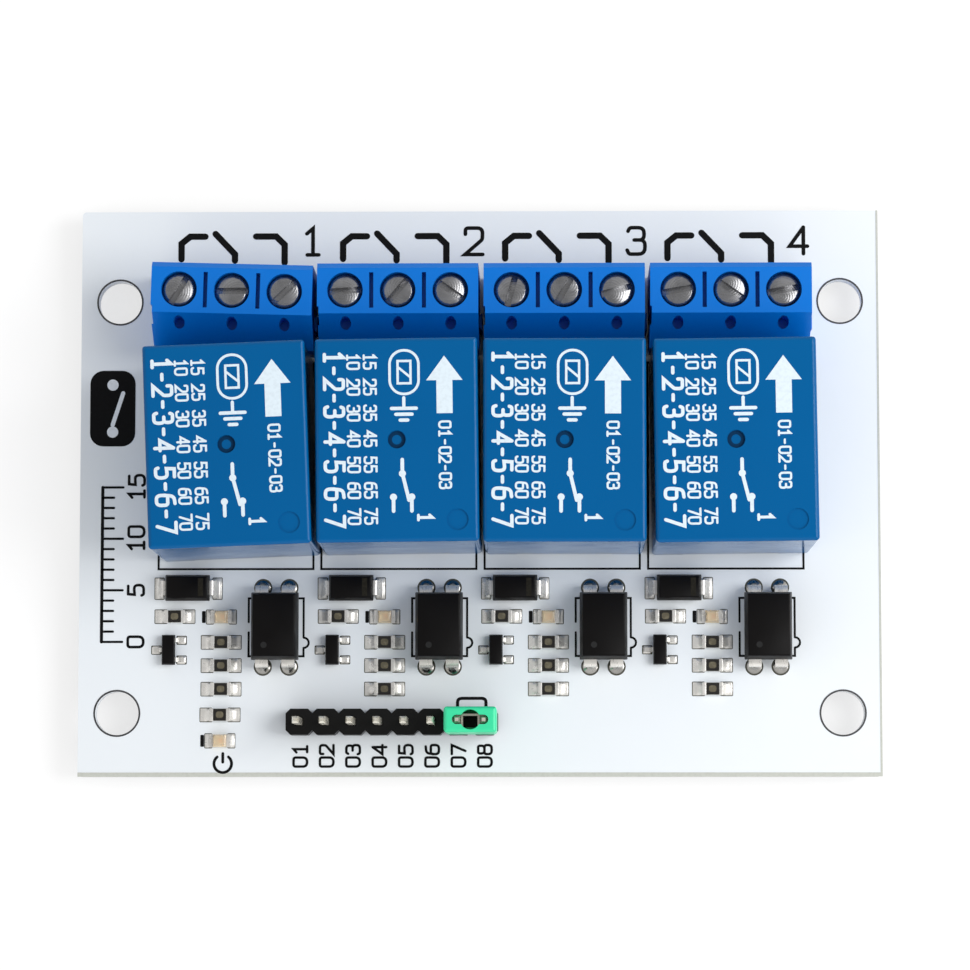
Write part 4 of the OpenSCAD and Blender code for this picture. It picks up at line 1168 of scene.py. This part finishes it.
class RELAYBOARD_OT_pin_header(bpy.types.Operator):
    """Dresses the pin header."""

    bl_idname = "relay_board.pin_header"
    bl_label = "Pin header"

    def execute(self, context):
        look = context.scene.relay_header_look
        dress("header_body", moulded("black_header", look.body, 0.42, 0.15 * MM, 0.1, 0.22))
        dress("header_pins", metal("tinned_pins", look.pin, 0.24, (1, 1, 0.15), tarnish=0.85, metallic=0.6))
        return {"FINISHED"}


class RELAYBOARD_OT_jumper(bpy.types.Operator):
    """Dresses the jumper's shell and spring clip."""

    bl_idname = "relay_board.jumper"
    bl_label = "Jumper"

    def execute(self, context):
        look = context.scene.relay_header_look
        dress("jumper_shell", moulded("green_jumper", look.jumper, 0.34, 0.2 * MM, 0.06, 0.4))
        dress("jumper_clip", metal("spring_clip", look.pin, 0.22, (1, 1, 0.3)))
        return {"FINISHED"}


def moulded_body(shape, box_size, draft, parting, edge):
    """Rounded body with sides that lean in from the parting line, standing on the current place."""
    width, depth, height = box_size

    def outline(lean):
        radius = max(edge * 0.7, 0.02 * MM)
        return rounded_rectangle(width - 2 * lean, depth - 2 * lean, radius, 3)

    seam = 0.02 * MM
    levels = [
        (0, draft + edge * 0.6), (edge * 0.5, draft), (parting, 0.0), (parting + seam, 0.0),
        (height - edge, draft), (height - edge * 0.3, draft + edge * 0.3), (height, draft + edge),
    ]
    return shape.pillow(outline, levels)


class RELAYBOARD_OT_optocouplers(bpy.types.Operator):
    """Builds the four optocouplers on their bent leads."""

    bl_idname = "relay_board.optocouplers"
    bl_label = "Optocouplers"

    lead_thickness: length("Lead thickness", "Thickness of the leads", 0.26)
    lead_pitch: length("Lead pitch", "Distance between neighbouring leads", 2.54)
    shoulder: length("Lead shoulder", "Width of the leads at the body", 1.25)
    lift: length("Lift", "Gap between the body and the board", 0.35)

    def execute(self, context):
        look = context.scene.relay_part_look
        moulding = moulded("black_moulding", look.moulding, 0.46, 0.12 * MM, 0.12, 0.14)
        tin = metal("tinned_leads", context.scene.relay_board_look.solder, 0.28, (1, 0.3, 0.3), metallic=0.5)
        mark = moulded("moulded_dot", shade(look.moulding, 0.3), 0.7)
        lead_gap, draft = 1.12 * MM, 0.25 * MM
        dot_inset, dot_radius, dot_rise = 1.35 * MM, 0.3 * MM, 0.004 * MM
        for number, spot, low, high in parts_of("optocouplers"):
            width, out = high.x - low.x, (high.y - low.y) / 2 - self.lead_thickness / 2
            depth = 2 * out - lead_gap
            height = high.z - BOARD_TOP - self.lift
            parting = height * 0.45
            shape = Shape().at(spot.x, spot.y, BOARD_TOP + self.lift)
            moulded_body(shape, (width, depth, height), draft, parting, look.corner_round)
            shape.finish = 2
            shape.at(spot.x - width / 2 + dot_inset, spot.y - depth / 2 + dot_inset, high.z)
            shape.prism(circle(0, 0, dot_radius, 24), -SINK, dot_rise)
            shape.finish = 1
            for x in (-1, 1):
                for side in (0, 180):
                    shape.at(spot.x + x * self.lead_pitch / 2, spot.y, BOARD_TOP, side)
                    self.lead(shape, depth / 2, out, self.lift + parting, low.z - BOARD_TOP)
            shape.piece(f"optocoupler_{number}", [moulding, tin, mark], slot="optocouplers",
                        stands_for=("optocouplers",))
        return {"FINISHED"}

    def lead(self, shape, start, out, high, tip):
        """A lead that leaves the body, turns down and narrows into the board."""
        root, bend, wide_end, narrow_start = 0.4 * MM, 0.42 * MM, 0.62 * MM, 0.35 * MM
        narrow = 0.5 * MM
        corners = [(start - root, high), (out, high, bend), (out, wide_end), (out, narrow_start), (out, tip)]
        path = soft_path(corners, 0, 6)
        widths = [self.shoulder if z > (wide_end + narrow_start) / 2 else narrow for _, z in path]
        shape.strip(path, widths, self.lead_thickness)


class RELAYBOARD_OT_diodes(bpy.types.Operator):
    """Builds the four moulded diodes with their folded leads."""

    bl_idname = "relay_board.diodes"
    bl_label = "Diodes"

    lead_width: length("Lead width", "Width of the folded leads", 1.4)
    lead_thickness: length("Lead thickness", "Thickness of the folded leads", 0.2)

    def execute(self, context):
        look = context.scene.relay_part_look
        moulding = bpy.data.materials["black_moulding"]
        tin = bpy.data.materials["tinned_leads"]
        band = ink("cathode_band", shade(look.mark, 0.12))
        lift, lead_room, draft, parting_share = 0.1 * MM, 0.9 * MM, 0.2 * MM, 0.46
        band_width, band_short, band_corner, band_rise = 0.5 * MM, 0.75 * MM, 0.03 * MM, 0.008 * MM
        for number, spot, low, high in parts_of("diodes"):
            base = low.z + lift
            size = (high.x - low.x - lead_room, high.y - low.y, high.z - base)
            parting = size[2] * parting_share
            shape = Shape().at(spot.x, spot.y, base)
            moulded_body(shape, size, draft, parting, look.corner_round)
            shape.finish = 2
            shape.at(spot.x + size[0] * 0.31, spot.y, high.z)
            shape.prism(rounded_rectangle(band_width, size[1] - band_short, band_corner, 1), -SINK, band_rise)
            shape.finish = 1
            for side in (0, 180):
                shape.at(spot.x, spot.y, 0, side)
                self.lead(shape, size[0] / 2, (high.x - low.x) / 2, base + parting, low.z)
            shape.piece(f"diode_{number}", [moulding, tin, band], slot="diodes", stands_for=("diodes",))
        return {"FINISHED"}

    def lead(self, shape, start, out, high, low):
        """A lead that leaves the body, folds down and tucks under it."""
        half = self.lead_thickness / 2
        root, tuck, upper_bend, lower_bend = 0.3 * MM, 0.8 * MM, 0.28 * MM, 0.22 * MM
        path = [
            (start - root, high), (out - half, high, upper_bend),
            (out - half, low + half, lower_bend), (start - tuck, low + half),
        ]
        shape.strip(soft_path(path, 0, 6), self.lead_width, self.lead_thickness, across="y")


class RELAYBOARD_OT_transistors(bpy.types.Operator):
    """Builds the four small transistors with gull-wing leads."""

    bl_idname = "relay_board.transistors"
    bl_label = "Transistors"

    lead_width: length("Lead width", "Width of the leads", 0.42)
    lead_thickness: length("Lead thickness", "Thickness of the leads", 0.12)

    def execute(self, context):
        look = context.scene.relay_part_look
        moulding = bpy.data.materials["black_moulding"]
        tin = bpy.data.materials["tinned_leads"]
        lift, lead_room, draft, lead_inset = 0.05 * MM, 1.1 * MM, 0.08 * MM, 0.5 * MM
        for number, spot, low, high in parts_of("transistors"):
            base = low.z + lift
            size = (high.x - low.x - lead_room, high.y - low.y, high.z - base)
            parting = size[2] * 0.5
            shape = Shape().at(spot.x, spot.y, base)
            moulded_body(shape, size, draft, parting, look.corner_round * 0.6)
            shape.finish = 1
            pair = size[1] / 2 - lead_inset
            for turn, y in ((0, pair), (0, -pair), (180, 0)):
                shape.at(spot.x, spot.y + y, 0, turn)
                self.lead(shape, size[0] / 2, (high.x - low.x) / 2, base + parting, low.z)
            shape.piece(f"transistor_{number}", [moulding, tin], slot="transistors",
                        stands_for=("transistors",))
        return {"FINISHED"}

    def lead(self, shape, start, out, high, low):
        """A lead that leaves the side, steps down and lies flat on the pad."""
        half = self.lead_thickness / 2
        root, shoulder, heel, bend = 0.1 * MM, 0.16 * MM, 0.2 * MM, 0.1 * MM
        path = [
            (start - root, high), (start + shoulder, high, bend),
            (start + heel, low + half, bend), (out, low + half),
        ]
        shape.strip(soft_path(path, 0, 4), self.lead_width, self.lead_thickness, across="y")


class RELAYBOARD_OT_chip_resistors(bpy.types.Operator):
    """Builds the chip resistors: ceramic, glazed top, value mark and wrapped metal ends."""

    bl_idname = "relay_board.chip_resistors"
    bl_label = "Chip resistors"

    end_length: length("End length", "Length of the metal ends", 0.38)

    def execute(self, context):
        look = context.scene.relay_part_look
        glaze = moulded("resistor_glaze", look.glaze, 0.3, 0.2 * MM, 0.15)
        ceramic = moulded("white_ceramic", look.ceramic, 0.6)
        tin = bpy.data.materials["tinned_leads"]
        mark = ink("resistor_mark", look.mark)
        skin = 0.035 * MM
        mark_outline = rounded_rectangle(0.72 * MM, 0.62 * MM, 0.22 * MM, 4)
        for number, spot, low, high in parts_of("resistors"):
            width, depth, height = high - low
            core = rounded_rectangle(width - 2 * skin, depth - 2 * skin, 0.03 * MM, 1)
            window = rounded_rectangle(width - 2 * self.end_length, depth - 3 * skin, 0.06 * MM, 3)
            shape = Shape().at(spot.x, spot.y, low.z)
            shape.finish = 1
            shape.prism(core, skin, height - 2 * skin)
            shape.finish = 0
            shape.prism(window, height - 2 * skin, height - 0.6 * skin)
            shape.finish = 3
            shape.at(spot.x, spot.y, high.z - 0.7 * skin)
            shape.prism(mark_outline, 0, 0.3 * skin)
            shape.finish = 2
            for side in (0, 180):
                shape.at(spot.x, spot.y, low.z, side)
                self.end(shape, width, depth, height)
            shape.piece(f"chip_resistor_{number}", [glaze, ceramic, tin, mark], slot="resistors",
                        stands_for=("resistors",))
        return {"FINISHED"}

    def end(self, shape, width, depth, height):
        """A metal cap wrapped over one end, with rounded edges."""
        edge, corner = 0.06 * MM, 0.07 * MM

        def outline(trim):
            cap = rounded_rectangle(self.end_length - trim, depth - trim, corner, 3)
            return [(x + width / 2 - self.end_length / 2, y) for x, y in cap]

        levels = [
            (0, edge), (edge * 0.5, 0.0), (height - edge * 0.6, 0.0),
            (height - edge * 0.15, edge * 0.6), (height, edge * 1.6),
        ]
        shape.pillow(outline, levels)


class RELAYBOARD_OT_indicator_lights(bpy.types.Operator):
    """Builds the chip lights: carrier, metal ends, die and clear lens."""

    bl_idname = "relay_board.indicator_lights"
    bl_label = "Indicator lights"

    lens_length: length("Lens length", "Length of the lens", 1.25)

    def execute(self, context):
        look = context.scene.relay_part_look
        carrier = moulded("light_carrier", look.carrier, 0.5)
        tin = bpy.data.materials["tinned_leads"]
        lens = lens_finish("clear_lens", look.lens)
        die = moulded("light_die", look.die, 0.4)
        base, lift, end_room, side_room = 0.3 * MM, 0.02 * MM, 0.5 * MM, 0.04 * MM
        die_side, die_rise, die_offset = 0.34 * MM, 0.12 * MM, 0.12 * MM
        lens_gap, lens_room = 0.005 * MM, 0.06 * MM
        lens_draft, lens_seam, lens_edge = 0.1 * MM, 0.04 * MM, 0.1 * MM
        for number, spot, low, high in parts_of("indicator_lights"):
            width, depth, height = high - low
            shape = Shape().at(spot.x, spot.y, low.z)
            shape.prism(rounded_rectangle(width - end_room, depth - side_room, 0.05 * MM, 2), lift, base)
            shape.finish = 1
            for side in (0, 180):
                shape.at(spot.x, spot.y, low.z, side)
                self.end(shape, width, depth, base)
            shape.finish = 3
            shape.at(spot.x + die_offset, spot.y, low.z + base)
            shape.prism(rounded_rectangle(die_side, die_side, 0.03 * MM, 1), 0, die_rise)
            shape.finish = 2
            shape.at(spot.x, spot.y, low.z + base + lens_gap)
            lens_size = (self.lens_length, depth - lens_room, height - base - lens_gap)
            moulded_body(shape, lens_size, lens_draft, lens_seam, lens_edge)
            shape.piece(f"indicator_light_{number}", [carrier, tin, lens, die], slot="indicator_lights",
                        stands_for=("indicator_lights",))
        return {"FINISHED"}

    @staticmethod
    def end(shape, width, depth, base):
        """A plated end with the half-round notch that such carriers have."""
        reach, notch, plating = 0.36 * MM, 0.2 * MM, 0.02 * MM
        x, half = width / 2, depth / 2
        outline = [(x, -half), (x, -notch)]
        outline += arc(x, 0, notch, 270, 90, 8)[1:-1]
        outline += [(x, notch), (x, half), (x - reach, half), (x - reach, -half)]
        shape.prism(outline, 0, base + plating)


# Half the floor's width, its thickness, and how far it lies under the lowest solder tail.
FLOOR_HALF = 1.5
FLOOR_DEPTH = 0.01
FLOOR_GAP = 0.02 * MM
# Where the soft lamp stands, and the point of the board's upper face that the camera looks at.
LAMP_PLACE = (0.25, 0.015, 0.27)
CAMERA_AIM = (0.534 * MM, 0.686 * MM, BOARD_TOP)


class RELAYBOARD_OT_stage(bpy.types.Operator):
    """Sets the floor, the world, the lamp and the camera."""

    bl_idname = "relay_board.stage"
    bl_label = "Stage"

    def execute(self, context):
        look = context.scene.relay_stage_look
        self.floor(look)
        self.world(context, look)
        self.lamp(context, look)
        self.camera(context, look)
        context.scene.view_settings.view_transform = "Standard"
        return {"FINISHED"}

    @staticmethod
    def floor(look):
        """A pale floor that keeps the shadow and shows as white to the camera."""
        half = FLOOR_HALF
        shape = Shape()
        shape.prism([(-half, -half), (half, -half), (half, half), (-half, half)], -FLOOR_DEPTH, -FLOOR_GAP)
        finish = Finish("pale_floor")
        rays = finish.node("LightPath")
        seen = finish.math("MAXIMUM", rays.outputs["Is Camera Ray"], rays.outputs["Is Glossy Ray"])
        seen = finish.math("MAXIMUM", seen, rays.outputs["Is Transmission Ray"])
        matt = finish.node("BsdfDiffuse", {"Color": (look.floor,) * 3 + (1.0,)})
        glow = finish.node("Emission", {"Strength": finish.math("MULTIPLY", seen, look.floor_lift)})
        both = finish.node("AddShader", {0: matt.outputs[0], 1: glow.outputs[0]})
        finish.close(both, "OutputMaterial")
        made = shape.build("floor", [finish.material])

    @staticmethod
    def world(context, look):
        """Soft light, stronger from right and front and weak overhead. The camera sees plain white."""
        world = bpy.data.worlds.new("studio")
        context.scene.world = world
        world.use_nodes = True
        nodes = Nodes(world.node_tree)
        way = nodes.node("SeparateXYZ", {"Vector": nodes.node("TexCoord").outputs["Generated"]})
        overhead = nodes.between(way.outputs["Z"], 1.0, look.overhead, 0.5, 0.97)
        sideways = nodes.between(way.outputs["X"], 1.0 - look.lean, 1.0 + look.lean, -1.0, 1.0)
        forwards = nodes.between(way.outputs["Y"], 1.0 + look.front, 1.0 - look.front, -1.0, 1.0)
        strength = nodes.math("MULTIPLY", nodes.math("MULTIPLY", overhead, sideways), forwards)
        strength = nodes.math("MULTIPLY", strength, look.fill)
        rays = nodes.node("LightPath")
        shown = nodes.math("MAXIMUM", rays.outputs["Is Camera Ray"], rays.outputs["Is Transmission Ray"])
        gloss = nodes.pick(rays.outputs["Is Glossy Ray"], strength, overhead)
        white = (1.0, 1.0, 1.0, 1.0)
        sky = nodes.node("Background", {"Color": white, "Strength": nodes.pick(shown, gloss, 1.0)})
        nodes.close(sky, "OutputWorld")

    @staticmethod
    def lamp(context, look):
        """One large soft lamp from the right and a little from behind."""
        data = bpy.data.lights.new("key_lamp", "AREA")
        data.shape = "DISK"
        data.size = look.key_size
        data.energy = look.key
        made = bpy.data.objects.new("key_lamp", data)
        made.location = LAMP_PLACE
        made.rotation_euler = (-Vector(made.location)).to_track_quat("-Z", "Y").to_euler()
        context.scene.collection.objects.link(made)

    @staticmethod
    def camera(context, look):
        """Camera nearly overhead, a little to the front and right."""
        data = bpy.data.cameras.new("camera")
        data.lens = look.lens
        data.sensor_width = 36.0
        data.clip_start = 0.01
        made = bpy.data.objects.new("camera", data)
        place = Vector((look.camera_side, -look.camera_front, look.camera_height))
        back = (place - Vector(CAMERA_AIM)).normalized()
        right = Vector((0, 1, 0)).cross(back).normalized()
        turn = Matrix((right, back.cross(right), back)).transposed().to_4x4()
        made.matrix_world = Matrix.Translation(place) @ turn
        context.scene.collection.objects.link(made)
        context.scene.camera = made


class RELAYBOARD_PT_build(bpy.types.Panel):
    """Lists the steps that build the board and the settings that they use."""

    bl_label = "Relay module board"
    bl_idname = "RELAYBOARD_PT_build"
    bl_space_type = "VIEW_3D"
    bl_region_type = "UI"
    bl_category = "Relay board"

    def draw(self, context):
        column = self.layout.column(align=True)
        for step in STEPS:
            column.operator(step.bl_idname)
        for look in LOOKS:
            box = self.layout.box()
            settings = getattr(context.scene, look)
            for name in settings.__annotations__:
                box.prop(settings, name)


LOOKS = {
    "relay_board_look": BoardSettings,
    "relay_case_look": RelaySettings,
    "relay_terminal_look": TerminalSettings,
    "relay_header_look": HeaderSettings,
    "relay_part_look": PartSettings,
    "relay_stage_look": StageSettings,
}
STEPS = (
    RELAYBOARD_OT_stage,
    RELAYBOARD_OT_circuit_board,
    RELAYBOARD_OT_board_print,
    RELAYBOARD_OT_solder,
    RELAYBOARD_OT_relay_cases,
    RELAYBOARD_OT_relay_mechanisms,
    RELAYBOARD_OT_screw_terminals,
    RELAYBOARD_OT_pin_header,
    RELAYBOARD_OT_jumper,
    RELAYBOARD_OT_optocouplers,
    RELAYBOARD_OT_diodes,
    RELAYBOARD_OT_transistors,
    RELAYBOARD_OT_chip_resistors,
    RELAYBOARD_OT_indicator_lights,
)


def register():
    """Registers the settings, the operators and the panel."""
    for settings in LOOKS.values():
        bpy.utils.register_class(settings)
    for name, settings in LOOKS.items():
        setattr(bpy.types.Scene, name, PointerProperty(type=settings))
    for step in STEPS:
        bpy.utils.register_class(step)
    bpy.utils.register_class(RELAYBOARD_PT_build)


def unregister():
    """Takes away what register added, in the opposite order."""
    bpy.utils.unregister_class(RELAYBOARD_PT_build)
    for step in reversed(STEPS):
        bpy.utils.unregister_class(step)
    for name, settings in reversed(LOOKS.items()):
        delattr(bpy.types.Scene, name)
        bpy.utils.unregister_class(settings)


def main():
    """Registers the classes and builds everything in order."""
    register()
    for step in STEPS:
        space, name = step.bl_idname.split(".")
        getattr(getattr(bpy.ops, space), name)()


if __name__ == "__main__":
    main()
